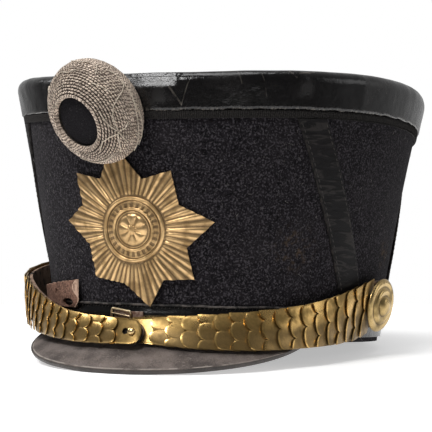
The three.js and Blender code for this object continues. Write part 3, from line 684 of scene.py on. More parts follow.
tape, shade = new_finish("tape")
weave = shade.grain(1600, 2)
shade.surface({
    "Base Color": weave.between(0.35, 0.65).blend((0.008, 0.0072, 0.0072), (0.026, 0.023, 0.021)),
    "Roughness": 0.85,
    "Specular IOR Level": 0.25,
    "Normal": shade.bump(weave, 0.0003, 0.6),
})
tape_face = GAP + TAPE_THICK
tape_profile = [(TAPE_LOW, GAP), (TAPE_LOW, tape_face), (TAPE_HIGH, tape_face), (TAPE_HIGH, GAP)]
tape_band = loft(240, tape_profile, lambda u, z, out: wall(u * math.tau, z, out), True)
show(tidy_mesh(to_mesh("rim_tape_band", *tape_band), 30), tape, ["rim_tape"])
tape_length = ring_length(TAPE_LOW, GAP)
rib_pitch = tape_length / TAPE_RIBS
rib_tall = (TAPE_HIGH - TAPE_LOW) * MM
rib_path = [Vector((0, y * rib_tall, 0)) for y in (-0.5, -0.2, 0.2, 0.5)]
rib = to_mesh("rib", *tube(rib_path, rib_pitch * 0.48, 6))
tape_sheet = wall_sheet(240, 2, lambda u, v: (u * math.tau, mix(TAPE_LOW, TAPE_HIGH, v), tape_face))
ribs = row(
    "rim_tape_ribs", rib, tape_sheet, TAPE_RIBS, (0, 0, 0), (rib_pitch, 0, 0), tape_length, rib_tall, tape)
show(ribs, tape)


# Side straps: four strips of black leather, two on each side, that open upwards in a V.
# They stiffen the felt, and a row of waxed thread holds them down along both edges.
STRAP_WIDE, STRAP_THICK = 18, 1.2
STRAP_LOW, STRAP_HIGH = 17.7, 111.5
STRAP_FOOT, STRAP_LEAN, STRAP_MIRROR = math.radians(81.5), math.radians(0.272), math.radians(92)
STITCH_PITCH = 2.7


def bar(low, high, inner, outer, radius, rows):
    """A bar's profile of (along its width, out) points, with its two outer edges rounded."""
    turns = [k * math.pi / 8 for k in range(5)]
    face = [(low, inner)]
    face += [(low + radius - radius * math.cos(t), outer - radius + radius * math.sin(t)) for t in turns]
    face += [(mix(low + radius, high - radius, k / rows), outer) for k in range(1, rows)]
    face += [(high - radius + radius * math.sin(t), outer - radius + radius * math.cos(t)) for t in turns]
    return face + [(high, inner)]


def side_strap_spot(side, front, u, across):
    z = mix(STRAP_LOW, STRAP_HIGH, u)
    middle = STRAP_FOOT - STRAP_LEAN * z
    angle = middle if front else 2 * STRAP_MIRROR - middle
    radius = wall_mm(angle, z, 0).xy.length
    return side * (angle + across / radius), z


def joined(name, meshes):
    """Several meshes as one."""
    body = bmesh.new()
    for mesh in meshes:
        body.from_mesh(mesh)
    whole = bpy.data.meshes.new(name)
    body.to_mesh(whole)
    body.free()
    return whole


# Painted highlight: both rounded edges of the strap are painted paler, broken up by noise.
def painted_strap_edge_highlight(shade):
    side = shade.uv("Y")
    rim = (1 - side.between(0.05, 0.30)) + side.between(0.68, 0.93)
    return rim * shade.grain(300, 4).between(0.46, 0.70) * 0.35


strap_leather, shade = new_finish("side_strap_leather")
crease_where = shade.node("Mapping", {}, {
    "Vector": shade.node("TexCoord", {}, {}, "UV"), "Scale": (26, 1.7, 1)})
creases = shade.node("TexNoise", {}, {"Vector": crease_where, "Scale": 1.0, "Detail": 4, "Distortion": 1.2})
pores = shade.grain(1500, 3)
fold = creases.between(0.52, 0.62) * (1 - creases.between(0.62, 0.74))
grey = (pores * 0.6 + shade.grain(90, 3) * 0.4).between(0.36, 0.66)
black = grey.blend((0.0045, 0.0042, 0.0045), (0.0125, 0.0113, 0.0117))
shade.surface({
    # The paler edge colour is a painted highlight.
    "Base Color": painted_strap_edge_highlight(shade).blend(
        (fold * 0.5).blend(black, (0.046, 0.041, 0.038)), (0.075, 0.064, 0.055)),
    "Roughness": grey * 0.25 + 0.45,
    "Specular IOR Level": 0.1,
    "Normal": shade.bump(pores * 0.3 + creases * 1.2, 0.0006, 0.8),
})
thread, shade = new_finish("waxed_thread")
ply = shade.grain(2500, 2)
shade.surface({
    "Base Color": ply.between(0.35, 0.65).blend((0.016, 0.013, 0.012), (0.060, 0.050, 0.042)),
    "Roughness": 0.7,
    "Normal": shade.bump(ply, 0.0002, 0.6),
})
stitch_path = [Vector((x * 0.95, 0, -0.1 - 0.4 * x * x * x * x)) * MM
               for x in (-1, -0.7, -0.25, 0.25, 0.7, 1)]
stitch = to_mesh("stitch", *tube(stitch_path, 0.27 * MM, 5))
strap_profile = bar(-STRAP_WIDE / 2, STRAP_WIDE / 2, GAP, GAP + STRAP_THICK, 0.7, 10)
strap_long = STRAP_HIGH - STRAP_LOW
stitch_count = int(strap_long / STITCH_PITCH)
stitch_rows = []
for side, word in ((-1, "left"), (1, "right")):
    for front, end_word in ((True, "front"), (False, "rear")):
        def strap_place(u, across, out):
            swell = 0.14 * ripple(8, side * 40 + u * strap_long, across + 70 * front, 2) * (out > GAP)
            return wall(*side_strap_spot(side, front, u, across), out + swell)
        strip = loft(64, strap_profile, strap_place, False)
        label = "side_strap_%s_%s" % (word, end_word)
        show(tidy_mesh(to_mesh(label + "_leather", *strip)), strap_leather, [label])
        strap_sheet = wall_sheet(64, 8, lambda u, v: (
            *side_strap_spot(side, front, u, (v - 0.5) * STRAP_WIDE), GAP + STRAP_THICK))
        for edge in (-1, 1):
            stitch_rows.append(row(
                "stitch_row", stitch, strap_sheet, stitch_count,
                (STITCH_PITCH / 2 * MM, edge * (STRAP_WIDE / 2 - 1.5) * MM, 0), (STITCH_PITCH * MM, 0, 0),
                strap_long * MM, STRAP_WIDE * MM, thread, 0.00012, 7 + edge))
show(tidy_mesh(joined("side_strap_stitches", stitch_rows)), thread)


# Base band: shiny black leather round the foot of the crown. Its upper edge is turned over a
# cord and whipped with thread, and it has worn pale and a little wavy.
BAND_LOW, BAND_HIGH, BAND_THICK = 2.4, 17.4, 1.3
BAND_SWELL, BAND_ROLL = 0.9, 2
BEAD = 0.62


def band_wave(angle):
    around = (math.sin(angle) * 95, math.cos(angle) * 95, 5)
    return 0.55 * ripple(17, *around) + 0.25 * ripple(6, *around)


def band_place(u, z, out):
    angle = u * math.tau
    upper = soft_step(BAND_LOW + 6, BAND_HIGH, z)
    swell = 0.16 * ripple(10, math.sin(angle) * 95, math.cos(angle) * 95, z) * (out > GAP)
    roll = BAND_SWELL * soft_step(BAND_HIGH - 9, BAND_HIGH - 5.5, z)
    roll -= BAND_ROLL * soft_step(BAND_HIGH - 6.5, BAND_HIGH - 0.3, z)
    return wall(angle, z + band_wave(angle) * upper, out + swell + roll * (out > GAP + 0.6))


band_leather = black_leather("band_leather", 0.07, 0.6, None)
band = loft(420, bar(BAND_LOW, BAND_HIGH, GAP, GAP + BAND_THICK, 0.5, 8), band_place, True)
show(tidy_mesh(to_mesh("foot_band", *band)), band_leather, ["base_band"])

cord_tree, start, end, add = node_tree("cord_on_path", [
    ("Radius", "Float"), ("Sides", "Int"), ("Finish", "Material")])
path = add("GeometryNodeMeshToCurve", {}, {"Mesh": start["Geometry"]})
far = add("GeometryNodeSplineParameter", {}, {}, "Length")
path = add("GeometryNodeStoreNamedAttribute", {"data_type": "FLOAT", "domain": "POINT"}, {
    "Geometry": path, "Name": "along", "Value": far})
circle = add("GeometryNodeCurvePrimitiveCircle", {}, {
    "Resolution": start["Sides"], "Radius": start["Radius"]})
round_share = add("GeometryNodeSplineParameter", {}, {}, "Factor")
circle = add("GeometryNodeStoreNamedAttribute", {"data_type": "FLOAT", "domain": "POINT"}, {
    "Geometry": circle, "Name": "around", "Value": round_share})
wound = add("GeometryNodeCurveToMesh", {}, {"Curve": path, "Profile Curve": circle, "Fill Caps": True})
wound = add("GeometryNodeRealizeInstances", {}, {0: wound})
smooth = add("GeometryNodeSetShadeSmooth", {}, {"Geometry": wound, "Shade Smooth": True})
done = add("GeometryNodeSetMaterial", {}, {"Geometry": smooth, "Material": start["Finish"]})
cord_tree.links.new(done, end[0])


def cords(name, paths, radius, sides, finish, closed=False):
    """Round cords along paths of points, in m."""
    points, edges = [], []
    for line in paths:
        first = len(points)
        points += line
        edges += [(first + i, first + i + 1) for i in range(len(line) - 1)]
        if closed:
            edges.append((len(points) - 1, first))
    seedling = bpy.data.meshes.new(name)
    seedling.from_pydata(points, edges, [])
    grown = grow(cord_tree, seedling, {"Radius": radius * MM, "Sides": sides, "Finish": finish})
    grown.name = name
    return grown


bead_finish, shade = new_finish("worn_bead")
worn = shade.grain(260, 4).between(0.40, 0.62)
twist = shade.node("Math", {"operation": "SINE"}, {
    0: shade.own("along") * 5200 + shade.own("around") * math.tau})
shade.surface({
    "Base Color": (worn * 0.9).blend((0.012, 0.011, 0.011), (0.15, 0.13, 0.118)),
    "Roughness": 0.55,
    "Normal": shade.bump(twist, 0.00025, 0.7),
})
bead_line = [wall(angle, BAND_HIGH + band_wave(angle) - 0.1, GAP + BAND_THICK - 0.35)
             for angle in (i * math.tau / 480 for i in range(480))]
show(tidy_mesh(cords("foot_band_bead", [bead_line], BEAD, 8, bead_finish, True)), bead_finish)
WHIP_PITCH = 2.4
whip_length = ring_length(BAND_HIGH - 2, GAP + BAND_THICK)
whip_count = int(whip_length / (WHIP_PITCH * MM))
whip_path = [Vector((x * 0.45, x * 0.7, 0.05 - 0.4 * x ** 4)) * MM for x in (-1, -0.6, 0, 0.6, 1)]
whip = to_mesh("whip", *tube(whip_path, 0.2 * MM, 5))
whip_sheet = wall_sheet(240, 2, lambda u, v: (
    u * math.tau, BAND_HIGH - 2.6 + 2.4 * v + band_wave(u * math.tau), GAP + BAND_THICK - 0.85))
whips = row("foot_band_stitches", whip, whip_sheet, whip_count, (0, 0, 0), (WHIP_PITCH * MM, 0, 0),
            whip_length, 2.4 * MM, thread, 0.0002, 11)
show(tidy_mesh(whips), thread)


# Peak: one piece of thick leather, cut in a crescent and moulded wet so that it slopes down
# over the brow. Its face has dried grey-brown, and its edge is bound and rubbed.
PEAK_REACH, PEAK_END, PEAK_ROUNDNESS = 36.2, 1.2, 0.94
PEAK_HALF, PEAK_MIDDLE, PEAK_SLOPE = math.radians(57.7), math.radians(1.3), math.radians(32.9)
PEAK_EDGE_START, PEAK_ROOT, PEAK_THICK = 1.84, -0.6, 2


def peak_place(u, v, height):
    share = 2 * u - 1
    angle = PEAK_MIDDLE + share * PEAK_HALF
    reach = mix(PEAK_END, PEAK_REACH, max(0, 1 - share * share) ** PEAK_ROUNDNESS)
    out = wall_mm(angle, 0, 1) - wall_mm(angle, 0, 0)
    root = wall_mm(angle, PEAK_ROOT, GAP)
    edge = wall_mm(angle, PEAK_EDGE_START, 0) + out * reach * math.cos(PEAK_SLOPE)
    edge.z -= reach * math.sin(PEAK_SLOPE)
    upward = out * math.sin(PEAK_SLOPE)
    upward.z = math.cos(PEAK_SLOPE)
    point = root.lerp(edge, v)
    full = reach / PEAK_REACH
    swell = 0.5 * math.sin(math.pi * v) * full + 0.16 * ripple(13, point.x, point.y, 8) * full
    return stand(point + upward * (height * PEAK_THICK + swell))


peak_leather, shade = new_finish("peak_leather")
pores = shade.grain(1900, 3)
blotch = shade.grain(85, 5)
fleck = shade.grain(620, 3).between(0.60, 0.72)
across = shade.uv("Y")
dry = (blotch * 0.6 + pores * 0.4).between(0.36, 0.64)
brown = dry.blend((0.060, 0.048, 0.043), (0.185, 0.152, 0.137))
flecked = (fleck * 0.35).blend(brown, (0.32, 0.28, 0.25))
line = across.between(0.508, 0.518) * (1 - across.between(0.524, 0.534))
lined = (line * shade.grain(160, 3).between(0.38, 0.58) * 0.75).blend(flecked, (0.36, 0.32, 0.285))
bound = across.between(0.534, 0.548) * (1 - across.between(0.69, 0.70))
shade.surface({
    "Base Color": (bound * 0.8).blend(lined, (0.035, 0.031, 0.029)),
    "Roughness": 0.74 - dry * 0.14 - bound * 0.2,
    "Specular IOR Level": 0.34,
    "Normal": shade.bump(pores * 0.6 + blotch * 0.6 + fleck * 0.2, 0.0005, 0.8),
})
peak_top = [(k / 24, 1) for k in range(24)]
peak_rim = [(0.965, 1.0), (0.975, 1.16), (0.99, 1.18), (1.0, 0.95), (1.0, 0.3), (0.99, 0.02), (0.975, 0)]
peak_under = [(1 - k / 12, 0) for k in range(1, 13)]
peak = loft(150, peak_top + peak_rim + peak_under, peak_place, False)
show(tidy_mesh(to_mesh("peak_leather_sheet", *peak)), peak_leather, ["peak"])


# Star: a plate of thin brass, stamped with rays round a ringed medallion and cut out by hand,
# so its points are uneven. The gilding is left on the ridges and the grooves have browned.
STAR_ANGLE, STAR_HEIGHT = math.radians(1.1), 55.8
STAR_CORNERS = [  # degrees from the lowest direction, and radius
    (12.6, 40.7), (32.5, 30.4), (52.2, 40.9), (72.1, 29.7), (95.6, 42.2), (118.1, 27.4), (146.1, 36.4),
    (167.2, 26.6), (192, 45.5), (214, 31.4), (229.1, 44.6), (248, 33.4), (264.3, 44.3), (285.6, 29),
    (315.6, 34.8), (348.8, 28.4)]
STAR_REACH, STAR_SHEET, STAR_DOME, STAR_SEAT, STAR_LIFT = 42, 0.8, 1.6, 0.5, 1.8
STAR_RAYS, STAR_COLUMNS = 58, 696
MEDALLION, MEDALLION_INNER, MEDALLION_BARS, MEDALLION_PETALS = 16.2, 10.2, 26, 8
BAR_RADIUS, BAR_HALF, BAR_TALL = 12.6, 1.5, 0.42
MEDALLION_RINGS = [  # height, radius and half width of each raised ring
    (1.0, MEDALLION - 0.2, 1.15), (0.35, MEDALLION - 1.9, 0.5), (0.85, MEDALLION_INNER + 0.5, 0.85),
    (0.4, MEDALLION_INNER - 1.1, 0.5)]


def star_edge(degrees):
    """The outline's radius in a direction, on the straight cut between two corners."""
    for i, (turn, radius) in enumerate(STAR_CORNERS):
        next_turn, next_radius = STAR_CORNERS[(i + 1) % len(STAR_CORNERS)]
        span = (next_turn - turn) % 360
        if (degrees - turn) % 360 < span:
            part = math.radians((degrees - turn) % 360)
            whole = math.radians(span)
            area = radius * next_radius * math.sin(whole)
            return area / (radius * math.sin(part) + next_radius * math.sin(whole - part))


def hump(value, middle, half):
    """A round bump of height 1 about a middle."""
    away = abs(value - middle) / half
    return math.sqrt(1 - away * away) if away < 1 else 0


def star_ray(degrees):
    """The stamped rays in a direction: 0 in a groove and 1 on a ridge."""
    turn = math.radians(degrees)
    phase = degrees / 360 * STAR_RAYS + 0.35 * ripple(0.4, math.sin(turn), math.cos(turn), 0)
    number = math.floor(phase)
    share = abs(2 * (phase - number) - 1)
    tall = 0.72 + 0.28 * math.sin(number * 2.4)
    return (1 - share ** 1.5) * tall


def star_relief(degrees, radius, edge):
    """Height of the stamping over the plate, in mm."""
    turn = math.radians(degrees)
    ray_part = soft_step(MEDALLION + 0.6, MEDALLION + 4, radius)
    height = ray_part * star_ray(degrees) * mix(0.95, 0.7, radius / edge)
    for tall, middle, half in MEDALLION_RINGS:
        height += tall * hump(radius, middle, half)
    dash = abs(2 * ((degrees / 360 * MEDALLION_BARS) % 1) - 1)
    height += BAR_TALL * hump(radius, BAR_RADIUS, BAR_HALF) * soft_step(0.75, 0.3, dash)
    petal = abs(math.cos(MEDALLION_PETALS / 2 * turn)) ** 0.7
    height += soft_step(9, 6.6, radius) * (0.55 + 0.55 * petal * hump(radius, 4.9, 3.6))
    height += 0.9 * hump(radius, 0, 2.1)
    return height


def star_place(degrees, radius, relief):
    turn = math.radians(degrees)
    x = radius * math.sin(turn)
    share = radius / STAR_REACH
    lift = STAR_LIFT * share * share * max(0, math.cos(turn))
    out = STAR_SEAT + STAR_DOME * max(0, 1 - share) + lift + relief
    z = STAR_HEIGHT - radius * math.cos(turn)
    return wall(STAR_ANGLE + x / half_width(STAR_HEIGHT), z, out)


star_turns = {round(i * 360 / STAR_COLUMNS, 3) for i in range(STAR_COLUMNS)}
star_turns = sorted(star_turns | {corner[0] for corner in STAR_CORNERS})
medallion_rows = [0.02] + [k * 0.4 for k in range(1, 45)]
ray_rows = [k / 22 for k in range(1, 23)]
star_points, star_faces, star_tints = [], [], []
for degrees in star_turns:
    ray = star_ray(degrees)
    edge = star_edge(degrees) * (1 - 0.010 * (1 - ray))
    radii = medallion_rows + [mix(medallion_rows[-1], edge, share) for share in ray_rows]
    for radius in radii:
        relief = star_relief(degrees, radius, edge)
        star_points.append(star_place(degrees, radius, STAR_SHEET + relief))
        star_tints.append(ray if radius > MEDALLION + 2 else min(1, relief / 0.9))
    for radius in (edge, mix(edge, MEDALLION, 0.5), MEDALLION, 8, 0.02):
        star_points.append(star_place(degrees, radius, 0))
        star_tints.append(0)
star_rows = len(star_points) // len(star_turns)
for i in range(len(star_turns)):
    here, there = i * star_rows, (i + 1) % len(star_turns) * star_rows
    for k in range(star_rows - 1):
        star_faces.append((here + k, there + k, there + k + 1, here + k + 1))
star_faces.append(tuple(i * star_rows for i in range(len(star_turns))))
star_faces.append(tuple(i * star_rows + star_rows - 1 for i in range(len(star_turns))))
star_mesh = to_mesh("star_plate", star_points, star_faces)
mark(star_mesh, "ridge", star_tints)


def brass(name, bright, dull, groove_and_shade, patch_size, patch, base_rough):
    """Old brass: bright where it is rubbed, dull between, and brown where the ridge value is low:
    dirt in the hollows, and painted shade on the lower half of each chain scale.
    """
    finish, shade = new_finish(name)
    cloud = shade.grain(patch_size, 4)
    fine = shade.grain(1700, 3)
    ridge = shade.own("ridge")
    tarnish = cloud.between(0.42, 0.66) * patch
    metal = tarnish.blend(bright, dull)
    # Low ridge values take the groove colour: dirt in the hollows, and painted shade on the chain scales.
    dirt_and_painted_shade = ((1 - ridge.between(0.10, 0.62)) * (0.55 + fine * 0.4)).blend(metal, groove_and_shade)
    shade.surface({
        "Base Color": dirt_and_painted_shade,
        "Metallic": 0.96 - (1 - ridge.between(0.0, 0.4)) * 0.25,
        "Roughness": tarnish * 0.22 + fine * 0.14 + (1 - ridge) * 0.12 + base_rough,
        "Normal": shade.bump(fine * 0.3 + cloud * 0.8, 0.00015, 0.6),
    })
    return finish


star_brass = brass(
    "star_brass", (0.70, 0.465, 0.225), (0.34, 0.215, 0.095), (0.070, 0.041, 0.019), 150, 0.8, 0.26)
show(tidy_mesh(star_mesh, 60), star_brass, ["star_badge"])


# Cockade: a round bun of tarnished metal thread, wound in close rings over a firm core and
# sewn to the front of the rim. Some threads have sprung loose and lie across the rings.
BUN_ANGLE, BUN_HEIGHT, BUN_OUT = math.radians(-7), 115.4, 6
BUN_AIM, BUN_DROOP = math.radians(-17.5), math.radians(29)
BUN_RADIUS, BUN_DEPTH, EYE, EYE_FLOOR, EYE_SLOPE = 27.8, 18, 14.8, 11.2, 1
WINDING = 0.56  # radius of the wound thread
WINDING_TURNS, WINDING_STEPS = 33, 150  # turns of the thread, and points in a turn

bun_middle = wall_mm(BUN_ANGLE, BUN_HEIGHT, BUN_OUT)
bun_axis = Vector((math.sin(BUN_AIM) * math.cos(BUN_DROOP), -math.cos(BUN_AIM) * math.cos(BUN_DROOP),
                   -math.sin(BUN_DROOP)))
bun_right = bun_axis.cross(Vector((0, 0, 1))).normalized()
bun_up = bun_right.cross(bun_axis)
bun_lip = math.acos(EYE / BUN_RADIUS)


def bun_mm(around, radius, height):
    ray = math.cos(around) * bun_right + math.sin(around) * bun_up
    return bun_middle + ray * radius + bun_axis * height


def bun_skin(around, turn, raise_by):
    """A point over the bun's skin: turn goes from the back, -90 degrees, to the lip of the eye."""
    radius = (BUN_RADIUS + raise_by) * math.cos(turn)
    return bun_mm(around, radius, (BUN_DEPTH + raise_by) * math.sin(turn))


def from_wall(point):
    """How far a point of the hat's own frame lies outside the crown's face, in mm."""
    z = point.z
    angle = 0
    for _ in range(4):
        face = wall_mm(angle, z, 0)
        z += point.z - face.z
        share = z / CROWN_HEIGHT
        flare = share * (1 - FLARE_CURVE + FLARE_CURVE * share)
        a = mix(BASE_HALF_WIDTH, TOP_HALF_WIDTH, flare)
        b = mix(BASE_HALF_LENGTH, TOP_HALF_LENGTH, flare)
        angle = math.atan2((point.x - TOP_SIDEWAYS * flare) / a, -(point.y + TOP_FORWARD * flare) / b)
    away = point - wall_mm(angle, z, 0)
    return away.dot(wall_mm(angle, z, 1) - wall_mm(angle, z, 0))


def metal_thread(name, light, dark):
    finish, shade = new_finish(name)
    uneven = shade.grain(500, 1) * 11
    twist = shade.node("Math", {"operation": "SINE"}, {
        0: shade.own("along") * 3100 + shade.own("around") * math.tau + uneven})
    ply = twist * 0.5 + 0.5
    tarnish = shade.grain(120, 4).between(0.42, 0.62)
    spun = ply.between(0.1, 0.7).blend(dark, light)
    shade.surface({
        "Base Color": (tarnish * 0.4).blend(spun, dark),
        "Metallic": 0.3,
        "Roughness": 0.48,
        "Normal": shade.bump(ply, 0.0005, 0.9),
    })
    return finish


thread_core, shade = new_finish("thread_core")
shade.surface({
    "Base Color": shade.grain(900, 3).between(0.35, 0.65).blend((0.012, 0.009, 0.007), (0.045, 0.035, 0.027)),
    "Roughness": 0.9,
})
bun_profile = []
for k in range(31):
    turn = mix(-math.pi / 2 + 0.01, bun_lip, k / 30)
    bun_profile.append((BUN_RADIUS * math.cos(turn) - 0.3, BUN_DEPTH * math.sin(turn) - 0.3))
bun_profile += [(EYE - EYE_SLOPE, EYE_FLOOR), (0.01, EYE_FLOOR)]


def bun_place(u, radius, height):
    point = bun_mm(u * math.tau, radius, height)
    seat = RIM_OUT + GAP - from_wall(point)
    if seat > 0:
        point += seat * (wall_mm(BUN_ANGLE, BUN_HEIGHT, 1) - wall_mm(BUN_ANGLE, BUN_HEIGHT, 0))
    return stand(point)


bun = loft(120, bun_profile, bun_place, True)
bun_mesh = tidy_mesh(to_mesh("cockade_core", *bun))
show(bun_mesh, thread_core, ["cockade_winding"])

winding_paths = [[]]
for step in range(WINDING_TURNS * WINDING_STEPS):
    share = step / (WINDING_TURNS * WINDING_STEPS)
    turn = mix(bun_lip, -1.15, share)
    around = step / WINDING_STEPS * math.tau
    wobble = 0.14 * ripple(3, math.cos(around) * 20, math.sin(around) * 20, turn * 25)
    point = bun_skin(around, turn + wobble / BUN_RADIUS, wobble)
    if from_wall(point) > RIM_OUT + GAP + WINDING:
        winding_paths[-1].append(stand(point))
    elif winding_paths[-1]:
        winding_paths.append([])
for ring in range(4):
    radius = mix(EYE, EYE - EYE_SLOPE, ring / 3) + 0.1
    height = mix(BUN_DEPTH * math.sin(bun_lip), EYE_FLOOR + 2.4, ring / 3)
    winding_paths.append([stand(bun_mm(i * math.tau / 120, radius, height)) for i in range(121)])
winding_paths = [line for line in winding_paths if len(line) > 3]
silver_tan = metal_thread("silver_tan_thread", (0.80, 0.66, 0.54), (0.165, 0.125, 0.098))
show(cords("cockade_thread", winding_paths, WINDING, 5, silver_tan), silver_tan)

LOOSE_THREADS = [  # degrees round the bun, and degrees from its widest ring towards the eye
    [(150, -5), (159, -4), (169, -4), (183, 0), (200, 1), (216, 0), (231, -2), (244, -4)],
    [(131, 0), (144, -4), (154, -1), (158, 7), (162, 20), (167, 30), (177, 36), (187, 36), (198, 34)],
    [(202, 34), (208, 45), (219, 52), (234, 51), (247, 48)],
    [(164, 49), (176, 48), (184, 46), (191, 42), (199, 34)],
    [(118, 4), (124, 13), (126, 20)], [(202, 34), (214, 32), (232, 24)], [(199, 34), (208, 27), (214, 20)],
    [(296, 38), (279, 35), (256, 34), (234, 32)], [(128, 32), (145, 26), (153, 22)],
    [(190, 18), (196, 24), (199, 34)],
    [(162, -6), (176, -3), (197, -9), (216, -10), (237, -6)], [(60, 30), (75, 24), (88, 28), (104, 22)],
    [(20, 10), (34, 18), (46, 26), (50, 36)], [(330, 20), (345, 28), (2, 24)], [(82, 2), (96, 8), (112, 4)]]
loose_paths = []
for knots in LOOSE_THREADS:
    line = []
    for (around, turn), (next_around, next_turn) in zip(knots, knots[1:]):
        sweep = (next_around - around + 180) % 360 - 180
        for step in range(6):
            angle = math.radians(around + sweep * step / 6)
            slant = math.radians(mix(turn, next_turn, step / 6))
            point = bun_skin(angle, slant, WINDING + 0.25 + 0.2 * ripple(2, angle * 20, slant * 20, 0))
            if from_wall(point) > RIM_OUT + 1:
                line.append(stand(point))
    loose_paths.append(line)
pale_thread = metal_thread("pale_thread", (0.95, 0.84, 0.70), (0.62, 0.52, 0.42))
show(cords("cockade_loose_thread", loose_paths, 0.3, 5, pale_thread), pale_thread)


# Eye of the cockade: a slightly domed disc of black velvet, glued into the hollow of the bun.
# Dust has settled in its pile.
EYE_DISC = 2
velvet, shade = new_finish("velvet")
pile = shade.grain(2200, 3)
dust = shade.grain(1300, 1).between(0.66, 0.74)
black = pile.between(0.35, 0.65).blend((0.0055, 0.0050, 0.0062), (0.0155, 0.0140, 0.0160))
shade.surface({
    "Base Color": (dust * 0.4).blend(black, (0.10, 0.09, 0.085)),
    "Roughness": 0.95,
    "Specular IOR Level": 0.05,
    "Sheen Weight": 0.03,
    "Normal": shade.bump(pile, 0.0005, 0.8),
})
eye_radius = EYE - EYE_SLOPE - GAP
eye_profile = [(eye_radius * k / 12 + 0.01, EYE_FLOOR + GAP) for k in range(13)]
eye_profile += [(eye_radius * (1 - (k / 12) ** 2) + 0.01, EYE_FLOOR + GAP + EYE_DISC * math.sqrt(k / 12))
                for k in range(1, 13)]
eye = loft(72, eye_profile, lambda u, radius, height: stand(bun_mm(u * math.tau, radius, height)), True)
show(tidy_mesh(to_mesh("cockade_velvet", *eye)), velvet, ["cockade_centre"])


# Chin straps: two strips of harness leather behind the metal of the chin chain, from the
# rosettes to where they lap over the peak. The upper cut edge has stayed tan.
CHAIN_LEATHER, CHAIN_INSET, CHAIN_END_INSET, CHAIN_TAPER = 2, 0.08, 0.4, 7
COURSE_STEPS, CHAIN_COLUMNS = 200, 120
RIGHT_COURSE = [  # angle, height and distance from the wall of the upper and of the lower edge
    (92.7, 34.8, 4.3, 6.3, 4.3), (85, 34.3, 3, 5.8, 3), (75, 29.4, 2.4, 1.9, 3), (66, 24.3, 2.4, -0.4, 5.8),
    (54, 18.7, 2.6, -2.8, 9.8), (38, 14, 2.8, -5.2, 14.2), (22, 11.4, 3.4, -5.4, 14), (6, 9.9, 4, -3.4, 10.4),
    (0.5, 9.7, 4, -3.3, 10.2)]
LEFT_COURSE = [
    (-97, 41, 1.9, 11.5, 1.9), (-90, 40.5, 2.8, 10.9, 2.8), (-80, 38.4, 6.5, 9.4, 6.5),
    (-65, 33, 10.5, 7, 11), (-52, 27.2, 9, 4, 11.5), (-38, 20, 7.5, 0.4, 12.5), (-24, 13.6, 7.8, -2.4, 13.2),
    (-14, 11.1, 8.6, -3.6, 14), (2, 9.2, 9.6, -3.7, 15.2), (6.2, 9, 9.8, -3.6, 15.2)]


class Course:
    """The way of one half of the chain: smooth curves through its edges, in the hat's own mm."""

    def __init__(self, rows, side):
        self.side = side
        self.top = [wall_mm(math.radians(r[0]), r[1], r[2]) for r in rows]
        self.low = [wall_mm(math.radians(r[0]), r[3], r[4]) for r in rows]
        self.middle = [t.lerp(l, 0.5) for t, l in zip(self.top, self.low)]
        line = [self.curve(self.middle, k / COURSE_STEPS) for k in range(COURSE_STEPS + 1)]
        self.far = [0]
        for a, b in zip(line, line[1:]):
            self.far.append(self.far[-1] + (b - a).length)
        self.length = self.far[-1]

    def curve(self, points, share):
        """A smooth curve that passes through the points."""
        spot = share * (len(points) - 1)
        i = min(max(int(spot), 0), len(points) - 2)
        part = spot - i
        b, c = points[i], points[i + 1]
        a = points[i - 1] if i > 0 else 2 * b - c
        d = points[i + 2] if i + 2 < len(points) else 2 * c - b
        ab, bc, cd = ((b - a).length ** 0.5, (c - b).length ** 0.5, (d - c).length ** 0.5)
        leave = ((b - a) / ab - (c - a) / (ab + bc) + (c - b) / bc) * bc
        reach = ((c - b) / bc - (d - b) / (bc + cd) + (d - c) / cd) * bc
        return (b + leave * part + (3 * (c - b) - 2 * leave - reach) * part ** 2
                + (2 * (b - c) + leave + reach) * part ** 3)

    def share(self, distance):
        distance = min(max(distance, 0), self.length)
        k = 1
        while self.far[k] < distance and k < COURSE_STEPS:
            k += 1
        part = (distance - self.far[k - 1]) / (self.far[k] - self.far[k - 1])
        return (k - 1 + part) / COURSE_STEPS

    def out(self, distance):
        t = self.share(distance)
        ahead = self.curve(self.middle, min(1, t + 0.001)) - self.curve(self.middle, max(0, t - 0.001))
        upward = self.curve(self.top, t) - self.curve(self.low, t)
        return -self.side * ahead.cross(upward).normalized()

    def place(self, distance, across, height):
        t = self.share(distance)
        foot = self.curve(self.low, t).lerp(self.curve(self.top, t), across)
        return stand(foot + height * self.out(distance))

    def seat(self, distance, height):
        """A seat on the middle of the strap, that high over it, and the way out of it there."""
        foot = self.place(distance, 0.5, height)
        return foot, (self.place(distance, 0.5, height + 1) - foot).normalized()

    def sheet(self):
        """The strap's inner face as a sheet."""
        def on_course(u, v):
            foot = self.place(u * self.length, v, 0)
            return foot, (self.place(u * self.length, v, 1) - foot).normalized()
        return sheet_mesh(COURSE_STEPS, 4, on_course)


